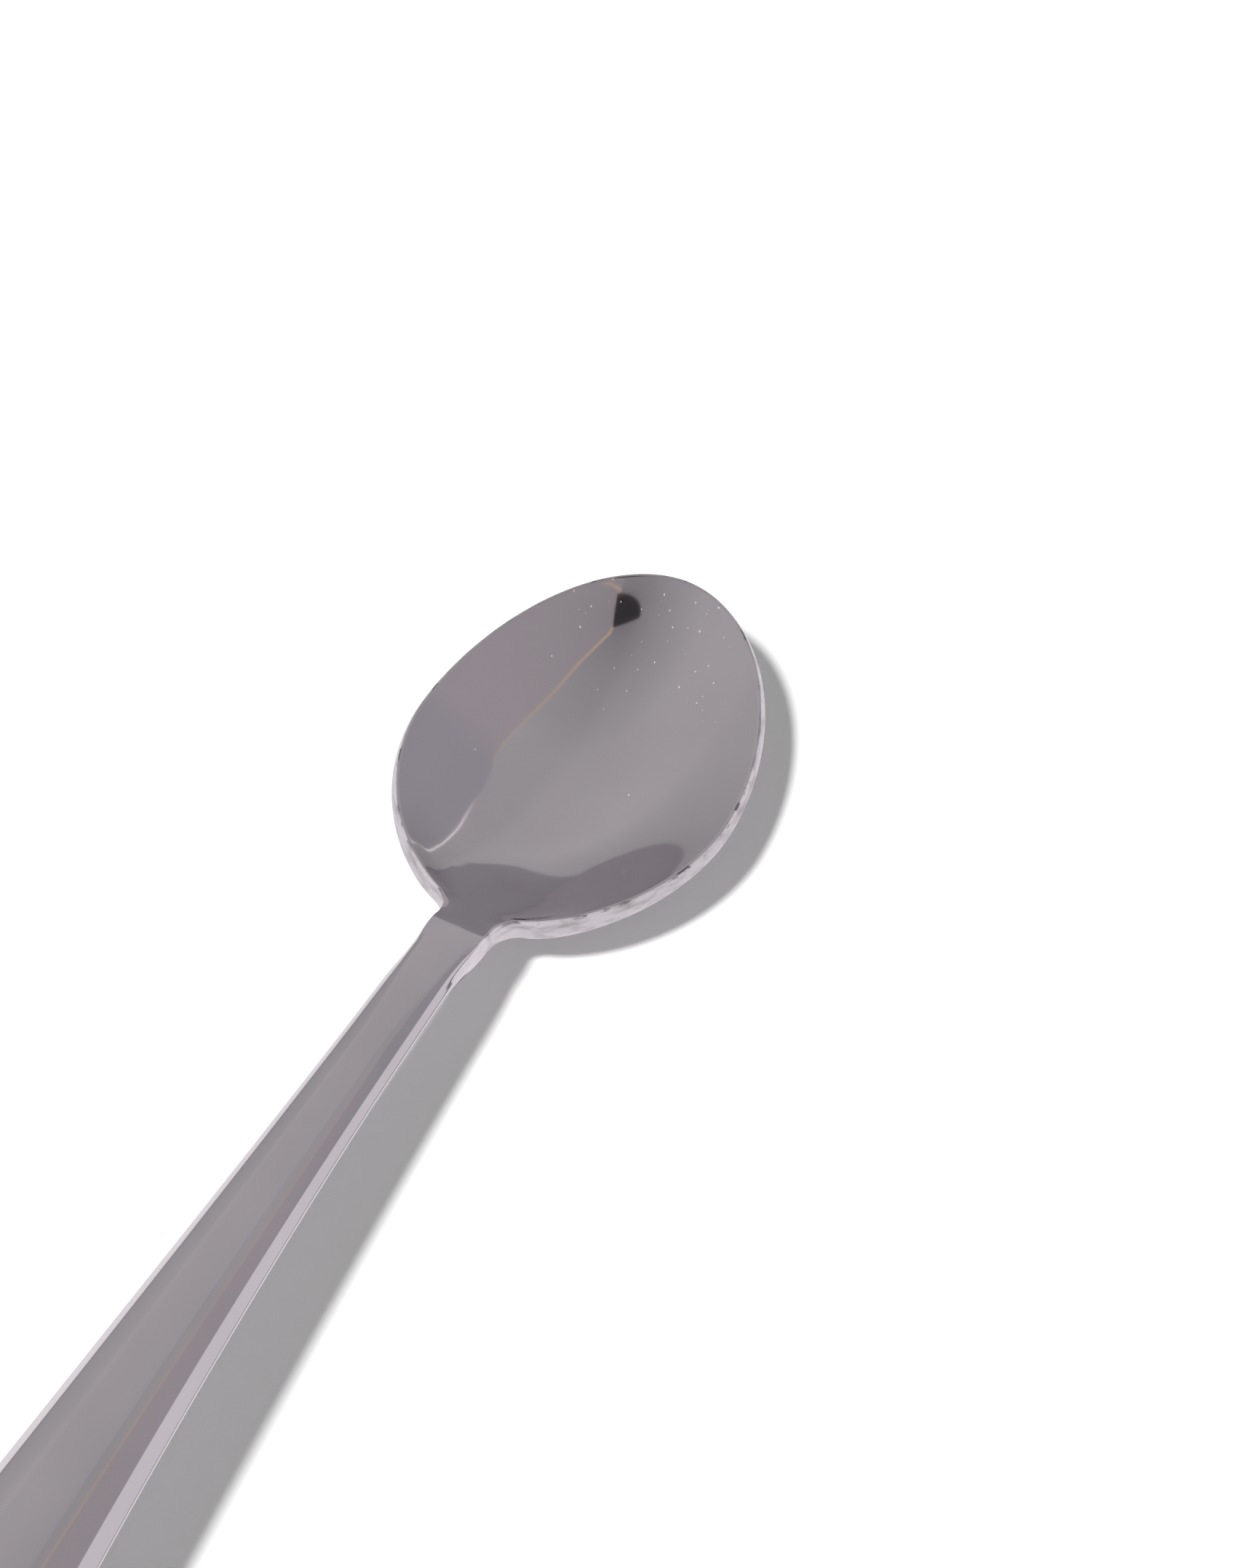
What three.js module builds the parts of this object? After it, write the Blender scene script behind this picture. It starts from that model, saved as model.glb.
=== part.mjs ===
// A teaspoon pressed in one piece from stainless steel: an egg-shaped bowl, a narrow neck and an arched
// handle that widens to a rounded end. It lies as on a table. +Y runs from the handle to the bowl's tip,
// +Z is up, and the origin is on the table under the middle of the spoon's length. Sizes are in millimetres.
import * as THREE from "three";

// Plan of the spoon, seen from above
const OVERALL_LENGTH = 140;
const BOWL_WIDTH = 31.1;
const BOWL_FRONT = 22.8; // from the widest line to the tip
const BOWL_BACK = 17.9; // from the widest line to where the shoulders would close
const FRONT_POWER = 1.93; // fullness of the outline: 2 is an ellipse, and less is leaner
const BACK_POWER = 1.88;
const SHOULDER_RADIUS = 2.6; // fillet between a shoulder and the neck
const NECK_WIDTH = 5.3;
const NECK_LENGTH = 8; // the stretch over which the bowl's section turns into the handle's
const HANDLE_WIDTH = 15.2; // at the broadest place, where the end begins to round off
const WIDEN_POWER = 1.72; // how late along the handle its width grows
const END_ROUND = 14; // length of the rounded end
const END_PIECE = 24; // length of the broad end that is named by itself

// Heights above the table
const RIM_AT_NECK = 7.9;
const RIM_AT_WIDEST = 7.6;
const RIM_AT_TIP = 9.3;
const ARCH_TOP = 12.1; // crest of the handle
const ARCH_FROM_NECK = 64; // where the crest lies along the handle
const ARCH_FALL_POWER = 2.3; // how late the handle drops behind its crest
const END_HEIGHT = 1.4; // top of the handle at its very end
const BOWL_WEAR = 0.2; // depth of the small flat worn under the bowl

// Sections of the bowl
const BOWL_SHEET = 2; // metal under the deepest place of the bowl
const CREASE_BACK = 0.6; // the floor leaves the neck's level this far behind the bowl
const NECK_SLOPE = 8; // length of the straight slope from that crease down into the bowl
const TIP_RISE_POWER = 2.4; // how late the floor rises towards the tip
const EASE_AT_NECK = 0.6; // how much flatter than a parabola the walls get towards the rim
const EASE_IN_BOWL = 0.2;
const EASE_FALL = 9; // length over which that lessens in front of the neck
const EASE_LEAD = 3; // length over which it sets in behind the crease
const UNDER_POWER = 2.5; // how late the underside rises towards the sides
const EDGE_AT_NECK = 2.25; // height of the bowl's slanted edge face
const EDGE_AT_TIP = 1.05;
const FLARE_AT_NECK = 0.74; // how far that face leans out
const FLARE_AT_TIP = 0.52;
const FLARE_START = 0.2; // share of the lean beside the neck, where the face is nearly upright
const FLARE_GROWS = 5; // length over which the face comes to its full lean
const EDGE_FALL = 9; // length over which the face slims down in front of the neck

// Sections of the neck and the handle
const NECK_THICKNESS = 2.4;
const CROWN_SHARE = 0.175; // the top's sides lie lower than its middle by this share of half its width
const CROWN_FADE = 3; // length over which the crown dies out behind the crease
const SLOPE_AT_NECK = 0.51; // width of the slope along the handle's upper edges
const SLOPE_AT_END = 1.03;
const SLOPE_RUN = 78; // length over which that slope grows
const EDGE_WALL = 0.48; // upright part of the edge under the slope
const UNDER_CROWN = 0.2; // the underside's sides lie this much higher than its middle
const UNDER_INSET = 0.2; // the underside is this much narrower than the outline on each side

// Fineness of the faceted surface
const SECTION_STEPS = 8; // facets from the middle line to one edge
const END_STEPS = 10;
const HANDLE_STEPS = 22;
const BROAD_STEPS = 5;
const NECK_STEPS = 5;
const FILLET_STEPS = 5;
const BACK_STEPS = 16;
const FRONT_STEPS = 18;
const FILLET_HALVINGS = 60; // rounds of the search for the place where the fillet touches the shoulder
const SAME_POINT = 1e-4; // points nearer than this are one

const STEEL = { color: "#938d93", metalness: 1, roughness: 0.18 };

const mix = (a, b, share) => a + (b - a) * share;
const clamp = (value, low, high) => Math.min(Math.max(value, low), high);
const smooth = (share) => {
  const held = clamp(share, 0, 1);
  return held * held * (3 - 2 * held);
};

// Lines that the pieces share
const QUARTER = Math.PI / 2;
const TIP_Y = OVERALL_LENGTH / 2;
const WIDEST_Y = TIP_Y - BOWL_FRONT; // the bowl is deepest here too
const HANDLE_END_Y = -OVERALL_LENGTH / 2;
const ROUND_START_Y = HANDLE_END_Y + END_ROUND;
const FLOOR_Z = BOWL_SHEET - BOWL_WEAR;
const shoulder = shoulderFillet();
const NECK_Y = shoulder.y;
const CREASE_Y = NECK_Y - CREASE_BACK;
const HANDLE_START_Y = NECK_Y - NECK_LENGTH;
const RIM_TIP_Y = TIP_Y - edgeFace(TIP_Y).flare;

// A point of a quarter of the bowl's outline with its outward direction. Angle 0 is on the widest line and
// a right angle is on the middle line. Side is 1 in front of the widest line and -1 behind it.
function outlinePoint(angle, reach, power, side) {
  const across = Math.max(Math.cos(angle), 0) ** (2 / power);
  const along = Math.sin(angle) ** (2 / power);
  const half = BOWL_WIDTH / 2;
  const out = new THREE.Vector2(across ** (power - 1) / half, (side * along ** (power - 1)) / reach);
  out.normalize();
  return { x: half * across, y: WIDEST_Y + side * reach * along, nx: out.x, ny: out.y };
}

// The fillet that touches the straight side of the neck and the curve of the shoulder: its centre, the angle
// at which it meets the shoulder and how far it turns on the way there.
function shoulderFillet() {
  const centreX = NECK_WIDTH / 2 + SHOULDER_RADIUS;
  let near = 0;
  let far = QUARTER;
  for (let i = 0; i < FILLET_HALVINGS; i++) {
    const angle = (near + far) / 2;
    const touch = outlinePoint(angle, BOWL_BACK, BACK_POWER, -1);
    if (touch.x + touch.nx * SHOULDER_RADIUS > centreX) near = angle;
    else far = angle;
  }
  const touch = outlinePoint(near, BOWL_BACK, BACK_POWER, -1);
  return {
    x: centreX,
    y: touch.y + touch.ny * SHOULDER_RADIUS,
    angle: near,
    turn: Math.atan2(-touch.nx, -touch.ny) + QUARTER,
  };
}

// 0 on the handle, 1 in the bowl, and a gentle change over the neck.
function shareOfBowl(y) {
  return smooth(1 - (NECK_Y - y) / NECK_LENGTH);
}

// Half the handle's width before its end is rounded off.
function handleHalf(y) {
  const share = Math.max((NECK_Y - y) / (NECK_Y - ROUND_START_Y), 0);
  return mix(NECK_WIDTH, HANDLE_WIDTH, share ** WIDEN_POWER) / 2;
}

// Width of the slope along the handle's upper edges. It drops as far as it is wide.
function edgeSlope(y) {
  return mix(SLOPE_AT_NECK, SLOPE_AT_END, smooth((NECK_Y - y) / SLOPE_RUN));
}

// How far the sides of the handle's top lie under its middle.
function crown(y) {
  return CROWN_SHARE * (handleHalf(y) - edgeSlope(y)) * smooth((CREASE_Y - y) / CROWN_FADE);
}

// Height of the top along the middle line of the handle.
function archHeight(y) {
  const fromNeck = CREASE_Y - y;
  if (fromNeck < ARCH_FROM_NECK) {
    return ARCH_TOP - (ARCH_TOP - RIM_AT_NECK) * (1 - fromNeck / ARCH_FROM_NECK) ** 2;
  }
  const share = (fromNeck - ARCH_FROM_NECK) / (CREASE_Y - HANDLE_END_Y - ARCH_FROM_NECK);
  return ARCH_TOP - (ARCH_TOP - END_HEIGHT) * share ** ARCH_FALL_POWER;
}

// Height of the bowl's floor along its middle line. It leaves the crease on a straight slope, which then
// rounds off to the lowest place.
function floorHeight(y) {
  if (y > WIDEST_Y) {
    const share = (y - WIDEST_Y) / (RIM_TIP_Y - WIDEST_Y);
    return FLOOR_Z + (RIM_AT_TIP - FLOOR_Z) * share ** TIP_RISE_POWER;
  }
  const run = WIDEST_Y - CREASE_Y;
  const rounded = run - NECK_SLOPE;
  const steepness = (2 * (RIM_AT_NECK - FLOOR_Z)) / (run + NECK_SLOPE);
  const back = WIDEST_Y - y;
  const drop = back < rounded ? back ** 2 / (2 * rounded) : back - rounded / 2;
  return FLOOR_Z + steepness * drop;
}

// Height of the top along the middle line of the whole spoon.
function middleHeight(y) {
  return y < CREASE_Y ? archHeight(y) : floorHeight(y);
}

// Height of the bowl's upper edge.
function rimHeight(y) {
  const back = y < WIDEST_Y;
  const end = back ? CREASE_Y : RIM_TIP_Y;
  const share = (y - WIDEST_Y) / (end - WIDEST_Y);
  return mix(RIM_AT_WIDEST, back ? RIM_AT_NECK : RIM_AT_TIP, share ** 2);
}

// The height of the bowl's edge face and how far it leans out.
function edgeFace(y) {
  const left = Math.exp(-Math.max(y - NECK_Y, 0) / EDGE_FALL);
  const grown = mix(FLARE_START, 1, smooth((y - CREASE_Y) / FLARE_GROWS));
  const lean = mix(FLARE_AT_TIP, FLARE_AT_NECK, left);
  return { height: mix(EDGE_AT_TIP, EDGE_AT_NECK, left), flare: lean * grown };
}

// Thickness of the metal along the middle line of the bowl.
function bowlMetal(y) {
  const fromNeck = smooth((y - NECK_Y) / (WIDEST_Y - NECK_Y));
  const toTip = clamp((y - WIDEST_Y) / (RIM_TIP_Y - WIDEST_Y), 0, 1);
  return mix(mix(NECK_THICKNESS, BOWL_SHEET, fromNeck), EDGE_AT_TIP, toTip);
}

// How much flatter than a parabola the walls get towards the rim.
function wallEase(y) {
  const left = Math.exp(-Math.max(y - NECK_Y, 0) / EASE_FALL);
  return mix(EASE_IN_BOWL, EASE_AT_NECK, left) * smooth((y - CREASE_Y + EASE_LEAD) / EASE_LEAD);
}

// Height of the upper surface. Edge is half its width at that place of the spoon.
function topHeight(x, y, edge) {
  const onHandle = y < CREASE_Y;
  const across = (x / (onHandle ? handleHalf(y) - edgeSlope(y) : edge)) ** 2;
  const share = across * (1 + wallEase(y) * (1 - across));
  return mix(middleHeight(y), onHandle ? archHeight(y) - crown(y) : rimHeight(y), share);
}

// Height of the underside. Edge is half its width at that place of the spoon.
function underHeight(x, y, edge) {
  const middle = middleHeight(y);
  const deep = crown(y) + edgeSlope(y) + EDGE_WALL;
  const arched = middle - deep - UNDER_CROWN * (1 - (x / (handleHalf(y) - UNDER_INSET)) ** 2);
  const rimUnder = rimHeight(y) - edgeFace(y).height;
  const lofted = mix(middle - bowlMetal(y), rimUnder, (x / edge) ** UNDER_POWER);
  return mix(arched, lofted, shareOfBowl(y));
}

// One closed section: across the top from left to right, down the right edge, back along the underside and
// up the left edge. Its outline point is the broadest place, and the corners lie inside it along the
// outline's direction.
function section(station) {
  const { x, y, nx, ny } = station;
  const bowlShare = shareOfBowl(y);
  const { height, flare } = edgeFace(y);
  const inset = (depth) => new THREE.Vector2(Math.max(x - nx * depth, 0), y - ny * depth);
  const top = inset(mix(edgeSlope(y), flare, bowlShare));
  const side = inset((bowlShare * flare) / 2);
  const under = inset(mix(UNDER_INSET, 0, bowlShare));
  const row = (corner, heightAt) => {
    const edge = Math.max(corner.x, SAME_POINT);
    const points = [];
    for (let i = -SECTION_STEPS; i <= SECTION_STEPS; i++) {
      const across = Math.sin((QUARTER * i) / SECTION_STEPS) * corner.x;
      const z = heightAt(Math.abs(across), corner.y, edge);
      points.push(new THREE.Vector3(across, corner.y, Math.max(z, 0)));
    }
    return points;
  };
  const topRow = row(top, topHeight);
  const drop = mix(edgeSlope(y), height / 2, bowlShare);
  const sideZ = Math.max(topRow[0].z - drop, 0);
  return {
    top: topRow,
    right: new THREE.Vector3(side.x, side.y, sideZ),
    under: row(under, underHeight),
    left: new THREE.Vector3(-side.x, side.y, sideZ),
  };
}

// Sections at even steps from one place of the outline to another.
function run(steps, stationAt) {
  return Array.from({ length: steps + 1 }, (_, i) => section(stationAt(i / steps)));
}

function sideRun(steps, fromY, toY) {
  return run(steps, (share) => {
    const y = mix(fromY, toY, share);
    return { x: handleHalf(y), y, nx: 1, ny: 0 };
  });
}

function endRun() {
  return run(END_STEPS, (share) => {
    const angle = QUARTER * share;
    const y = ROUND_START_Y - END_ROUND * Math.cos(angle);
    const half = handleHalf(y);
    const out = new THREE.Vector2(Math.sin(angle) / half, -Math.cos(angle) / END_ROUND).normalize();
    return { x: half * Math.sin(angle), y, nx: out.x, ny: out.y };
  });
}

function filletRun() {
  return run(FILLET_STEPS, (share) => {
    const turn = shoulder.turn * share;
    const nx = Math.cos(turn);
    const ny = -Math.sin(turn);
    const x = shoulder.x - SHOULDER_RADIUS * nx;
    const y = shoulder.y - SHOULDER_RADIUS * ny;
    return { x, y, nx, ny };
  });
}

function bowlRun(steps, fromAngle, toAngle, reach, power, side) {
  return run(steps, (share) => {
    return outlinePoint(mix(fromAngle, toAngle, share), reach, power, side);
  });
}

// A closed surface over a row of sections. Points that fall together become one, which closes the round
// ends.
function skin(sections) {
  const positions = [];
  const faces = [];
  const known = new Map();
  const indexOf = (point) => {
    const key = point.toArray().map((value) => Math.round(value / SAME_POINT)).join();
    if (!known.has(key)) {
      known.set(key, positions.length / 3);
      positions.push(...point.toArray());
    }
    return known.get(key);
  };
  const face = (a, b, c) => {
    if (a !== b && b !== c && c !== a) faces.push(a, b, c);
  };
  const quad = (a, b, c, d) => {
    face(a, b, c);
    face(a, c, d);
  };
  const loops = sections.map(({ top, right, under, left }) =>
    [...top, right, ...under.toReversed(), left].map(indexOf),
  );
  const count = loops[0].length;
  for (let i = 0; i + 1 < loops.length; i++) {
    for (let k = 0; k < count; k++) {
      const next = (k + 1) % count;
      quad(loops[i][k], loops[i][next], loops[i + 1][next], loops[i + 1][k]);
    }
  }
  const cap = (loop, turn) => {
    const flat = (a, b, c) => (turn ? face(a, c, b) : face(a, b, c));
    const last = 2 * SECTION_STEPS;
    const underAt = (i) => loop[count - 2 - i];
    flat(loop[count - 1], underAt(0), loop[0]);
    for (let i = 0; i < last; i++) {
      flat(loop[i], underAt(i), underAt(i + 1));
      flat(loop[i], underAt(i + 1), loop[i + 1]);
    }
    flat(loop[last], underAt(last), loop[last + 1]);
  };
  cap(loops[0], false);
  cap(loops[loops.length - 1], true);
  const geometry = new THREE.BufferGeometry();
  geometry.setAttribute("position", new THREE.Float32BufferAttribute(positions, 3));
  geometry.setIndex(faces);
  geometry.computeVertexNormals();
  return geometry;
}

function piece(name, ...runs) {
  const sections = runs.flatMap((sectionRun, i) => (i ? sectionRun.slice(1) : sectionRun));
  const mesh = new THREE.Mesh(skin(sections), new THREE.MeshStandardMaterial(STEEL));
  mesh.name = name;
  return mesh;
}

const END_START_Y = HANDLE_END_Y + END_PIECE;
const teaspoon = new THREE.Group();
teaspoon.add(
  piece("handle_end", endRun(), sideRun(BROAD_STEPS, ROUND_START_Y, END_START_Y)),
  piece("handle", sideRun(HANDLE_STEPS, END_START_Y, HANDLE_START_Y)),
  piece("neck", sideRun(NECK_STEPS, HANDLE_START_Y, CREASE_Y), sideRun(1, CREASE_Y, NECK_Y)),
  piece(
    "bowl",
    filletRun(),
    bowlRun(BACK_STEPS, shoulder.angle, 0, BOWL_BACK, BACK_POWER, -1),
    bowlRun(FRONT_STEPS, 0, QUARTER, BOWL_FRONT, FRONT_POWER, 1),
  ),
);

export default teaspoon;
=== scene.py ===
"""A pressed stainless steel teaspoon on a white table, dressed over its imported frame."""

import logging
import math
from dataclasses import dataclass, field
from enum import Enum
from typing import Any

import bpy
import numpy as np
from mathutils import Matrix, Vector


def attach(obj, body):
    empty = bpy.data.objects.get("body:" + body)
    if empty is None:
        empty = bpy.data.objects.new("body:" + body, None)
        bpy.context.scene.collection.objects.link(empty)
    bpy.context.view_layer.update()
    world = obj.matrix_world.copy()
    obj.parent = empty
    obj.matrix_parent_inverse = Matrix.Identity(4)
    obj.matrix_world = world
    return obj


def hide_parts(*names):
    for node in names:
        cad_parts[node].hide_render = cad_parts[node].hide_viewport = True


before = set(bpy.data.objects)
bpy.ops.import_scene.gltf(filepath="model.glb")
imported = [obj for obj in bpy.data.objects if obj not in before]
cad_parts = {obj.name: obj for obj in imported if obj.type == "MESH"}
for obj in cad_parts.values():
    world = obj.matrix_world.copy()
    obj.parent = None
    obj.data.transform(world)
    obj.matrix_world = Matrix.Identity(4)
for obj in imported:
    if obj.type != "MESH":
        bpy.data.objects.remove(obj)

MM = 0.001
QUARTER = math.pi / 2
WELD = 1e-3  # millimetres: points nearer than this are one
TINY = 1e-6  # keeps a width of nothing out of a division
NOTHING = 1e-30  # the same for the sum of a point's normals
HALVINGS = 60  # rounds of the search for the place where two curves touch
WHITE = (1.0, 1.0, 1.0, 1.0)
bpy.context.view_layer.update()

Pair = tuple[float, float]
Triple = tuple[float, float, float]
Colour = tuple[float, float, float, float]

# Kinds of node and settings that the trees share.
MATH, SPAN, NOISE = "ShaderNodeMath", "ShaderNodeMapRange", "ShaderNodeTexNoise"
SPLIT, JOIN = "ShaderNodeSeparateXYZ", "ShaderNodeCombineXYZ"
MIXED, STRETCH = "ShaderNodeMix", "ShaderNodeMapping"
TIMES, OVER = {"operation": "MULTIPLY"}, {"operation": "DIVIDE"}
PLUS, MINUS = {"operation": "ADD"}, {"operation": "SUBTRACT"}
TIMES_PLUS, POWER = {"operation": "MULTIPLY_ADD"}, {"operation": "POWER"}
SIZE, LARGER = {"operation": "ABSOLUTE"}, {"operation": "MAXIMUM"}
SOFT, BY_SIZE = {"interpolation_type": "SMOOTHSTEP"}, {"vector_type": "TEXTURE"}
PAINT, LEVEL = {"data_type": "RGBA"}, {"data_type": "FLOAT"}

log = logging.getLogger("teaspoon")


def mix(a: Any, b: Any, share: Any) -> Any:
    """The value that lies a share of the way from a to b."""
    return a + (b - a) * share


def smooth(share: Any) -> Any:
    """A share from 0 to 1 that starts and stops gently."""
    held = np.clip(share, 0.0, 1.0)
    return held * held * (3.0 - 2.0 * held)


def linear(colour: str) -> Colour:
    """A linear colour from an sRGB hex value.

    Args:
        colour: six hex digits after a hash sign.

    Returns:
        Red, green and blue in linear light, and an alpha of 1.
    """
    parts = [int(colour[i : i + 2], 16) / 255 for i in (1, 3, 5)]
    lit = [c / 12.92 if c <= 0.04045 else ((c + 0.055) / 1.055) ** 2.4 for c in parts]
    return (lit[0], lit[1], lit[2], 1.0)


def add_node(
    tree: Any,
    kind: str,
    settings: dict[str, Any] | None = None,
    links: dict[Any, Any] | None = None,
    out: int | str = 0,
) -> Any:
    """Adds a node with its settings, and sets or links its inputs.

    Args:
        tree: the node tree.
        kind: the node's Blender type.
        settings: attributes of the node.
        links: a socket to link from, or a value, for each input by its name or number.
        out: the output that is wanted, by its name or number.

    Returns:
        The socket of that output, or None where the node has no output.
    """
    node = tree.nodes.new(kind)
    for name, value in (settings or {}).items():
        setattr(node, name, value)
    for key, value in (links or {}).items():
        if isinstance(value, bpy.types.NodeSocket):
            tree.links.new(value, node.inputs[key])
        else:
            node.inputs[key].default_value = value
    return node.outputs[out] if len(node.outputs) else None


def fresh_tree(owner: Any) -> Any:
    """The node tree of a new material or world, emptied.

    Args:
        owner: the new material or world.

    Returns:
        Its node tree, with no node in it.
    """
    owner.use_nodes = True
    owner.node_tree.nodes.clear()
    return owner.node_tree


def add_object(name: str, data: Any) -> Any:
    """A new object in the scene, at the origin.

    Args:
        name: the object's name.
        data: its mesh, lamp or camera.

    Returns:
        The object.
    """
    made = bpy.data.objects.new(name, data)
    bpy.context.scene.collection.objects.link(made)
    return made


@dataclass(frozen=True)
class Ramp:
    """A stretch of a value over which something comes in, and what it is before and after."""

    start: float
    end: float
    before: float = 0.0
    after: float = 1.0

    def of(self, value: Any) -> dict[str, Any]:
        """The inputs by which a node follows this ramp over a value.

        Args:
            value: the socket with the value.

        Returns:
            What to set or link, by the name of the input.
        """
        return {
            "Value": value,
            "From Min": self.start,
            "From Max": self.end,
            "To Min": self.before,
            "To Max": self.after,
        }


class Zone(Enum):
    """The stretches of the spoon, each of which is one piece."""

    END = "handle_end"
    HANDLE = "handle"
    NECK = "neck"
    BOWL = "bowl"


class Mark(Enum):
    """What the surface carries from point to point or from face to face."""

    EDGE = "edge_face"
    ALONG = "along_edge"
    DOWN = "down_edge"
    NORMAL = "surface_normal"
    CAP = "cap_face"


@dataclass(frozen=True)
class Stations:
    """Places along the right side of the outline, each with its outward direction."""

    x: np.ndarray
    y: np.ndarray
    nx: np.ndarray
    ny: np.ndarray

    def inset(self, depth: np.ndarray) -> np.ndarray:
        """The places moved inwards by a depth, as rows of x and y."""
        return np.stack([np.maximum(self.x - self.nx * depth, 0.0), self.y - self.ny * depth], axis=1)

    @staticmethod
    def joined(rows: list["Stations"]) -> "Stations":
        """One row from several, each of which begins where the one before it ends.

        Args:
            rows: the rows in order.

        Returns:
            The whole row, with each shared place once.
        """
        first, *later = rows
        return Stations(
            *(
                np.concatenate([getattr(first, name), *(getattr(row, name)[1:] for row in later)])
                for name in ("x", "y", "nx", "ny")
            )
        )


@dataclass(frozen=True)
class Skin:
    """The whole surface as rings of points from the handle's end to the bowl's tip, in millimetres."""

    rings: np.ndarray
    edge: np.ndarray
    down: np.ndarray
    along: np.ndarray
    cuts: dict[Zone, tuple[int, int]]
    normals: np.ndarray = field(init=False)

    def __post_init__(self) -> None:
        """Works out one set of normals for all pieces, so that no line shows where they meet."""
        lying = self.lying()
        rows, count = lying.shape[:2]
        flat = lying.reshape(-1, 3)
        _, index = np.unique(np.round(flat / WELD).astype(np.int64), axis=0, return_inverse=True)
        grid = index.reshape(rows, count)
        nxt = np.roll(lying, -1, axis=1)
        across = np.cross(nxt[1:] - lying[:-1], lying[1:] - nxt[:-1])
        total = np.zeros((index.max() + 1, 3))
        turned = np.roll(grid, -1, axis=1)
        for corner in (grid[:-1], turned[:-1], turned[1:], grid[1:]):
            np.add.at(total, corner.reshape(-1), across.reshape(-1, 3))
        total /= np.maximum(np.linalg.norm(total, axis=1, keepdims=True), NOTHING)
        object.__setattr__(self, "normals", total[grid])

    def lying(self) -> np.ndarray:
        """The rings as they lie: what would reach under the table is worn flat."""
        return np.concatenate([self.rings[..., :2], np.maximum(self.rings[..., 2:], 0.0)], axis=2)

    def piece(self, zone: Zone, lowered: Any = None) -> Any:
        """A closed mesh of one zone, cut from the whole surface.

        Args:
            zone: the zone.
            lowered: for a blank that is still to be pressed, how much each ring point lies lower.

        Returns:
            The Blender object, in metres, linked to the scene.
        """
        first, last = self.cuts[zone]
        part = slice(first, last + 1)
        lying = self.lying()[part]
        rows, count = lying.shape[:2]
        keys = np.round(lying.reshape(-1, 3) / WELD).astype(np.int64)
        _, kept, index = np.unique(keys, axis=0, return_index=True, return_inverse=True)
        place = lying if lowered is None else self.rings[part]
        if lowered is not None:
            place = place - lowered[part][..., None] * np.array([0.0, 0.0, 1.0])
        grid = index.reshape(rows, count)
        nxt = np.roll(grid, -1, axis=1)
        quads = np.stack([grid[:-1], nxt[:-1], nxt[1:], grid[1:]], axis=2).reshape(-1, 4)
        seen = (tuple(dict.fromkeys(quad)) for quad in quads.tolist())
        faces = [face for face in seen if len(face) > 2]
        caps = [
            tuple(dict.fromkeys(row.tolist()))
            for row, ring in ((grid[0][::-1], lying[0]), (grid[-1], lying[-1]))
            if np.ptp(ring[:, 0]) > WELD
        ]
        name = f"{zone.value}_steel"
        mesh = bpy.data.meshes.new(name)
        mesh.from_pydata((place.reshape(-1, 3)[kept] * MM).tolist(), [], faces + caps)
        for mark, values in (
            (Mark.EDGE, self.edge[part]),
            (Mark.DOWN, self.down[part]),
            (Mark.ALONG, np.repeat(self.along[part, None], count, axis=1)),
        ):
            layer = mesh.attributes.new(mark.value, "FLOAT", "POINT")
            layer.data.foreach_set("value", values.reshape(-1)[kept].astype(np.float32))
        layer = mesh.attributes.new(Mark.NORMAL.value, "FLOAT_VECTOR", "POINT")
        normals = self.normals[part].reshape(-1, 3)[kept]
        layer.data.foreach_set("vector", normals.reshape(-1).astype(np.float32))
        layer = mesh.attributes.new(Mark.CAP.value, "BOOLEAN", "FACE")
        layer.data.foreach_set("value", np.arange(len(faces) + len(caps)) >= len(faces))
        return add_object(name, mesh)


class Pressing:
    """What the bowl and the handle share: pieces of one skin, dressed in one steel."""

    def smooth_over(self, piece: Any) -> None:
        """Gives a piece the normals of the whole surface, and flat ones on its cut ends.

        Args:
            piece: the finished mesh object.
        """
        mesh = piece.data
        normals = np.empty(len(mesh.vertices) * 3)
        mesh.attributes[Mark.NORMAL.value].data.foreach_get("vector", normals)
        corner = np.empty(len(mesh.loops), dtype=np.int64)
        mesh.loops.foreach_get("vertex_index", corner)
        turned = normals.reshape(-1, 3)[corner]
        capped = np.empty(len(mesh.polygons), dtype=bool)
        mesh.attributes[Mark.CAP.value].data.foreach_get("value", capped)
        for number in np.flatnonzero(capped):
            face = mesh.polygons[int(number)]
            turned[list(face.loop_indices)] = face.normal
        mesh.polygons.foreach_set("use_smooth", np.ones(len(mesh.polygons), dtype=bool))
        mesh.normals_split_custom_set(turned.tolist())
        for mark in (Mark.NORMAL, Mark.CAP):
            mesh.attributes.remove(mesh.attributes[mark.value])

    def dress(self, piece: Any, zone: Zone, steel: Any) -> None:
        """Gives a piece its steel and hands it to the frame in place of its solid.

        Args:
            piece: the finished mesh object.
            zone: the zone that it shows.
            steel: the material.
        """
        self.smooth_over(piece)
        piece.data.materials.clear()
        piece.data.materials.append(steel)
        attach(piece, "root")
        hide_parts(zone.value)
        log.info("%s: %d faces", piece.name, len(piece.data.polygons))


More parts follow.
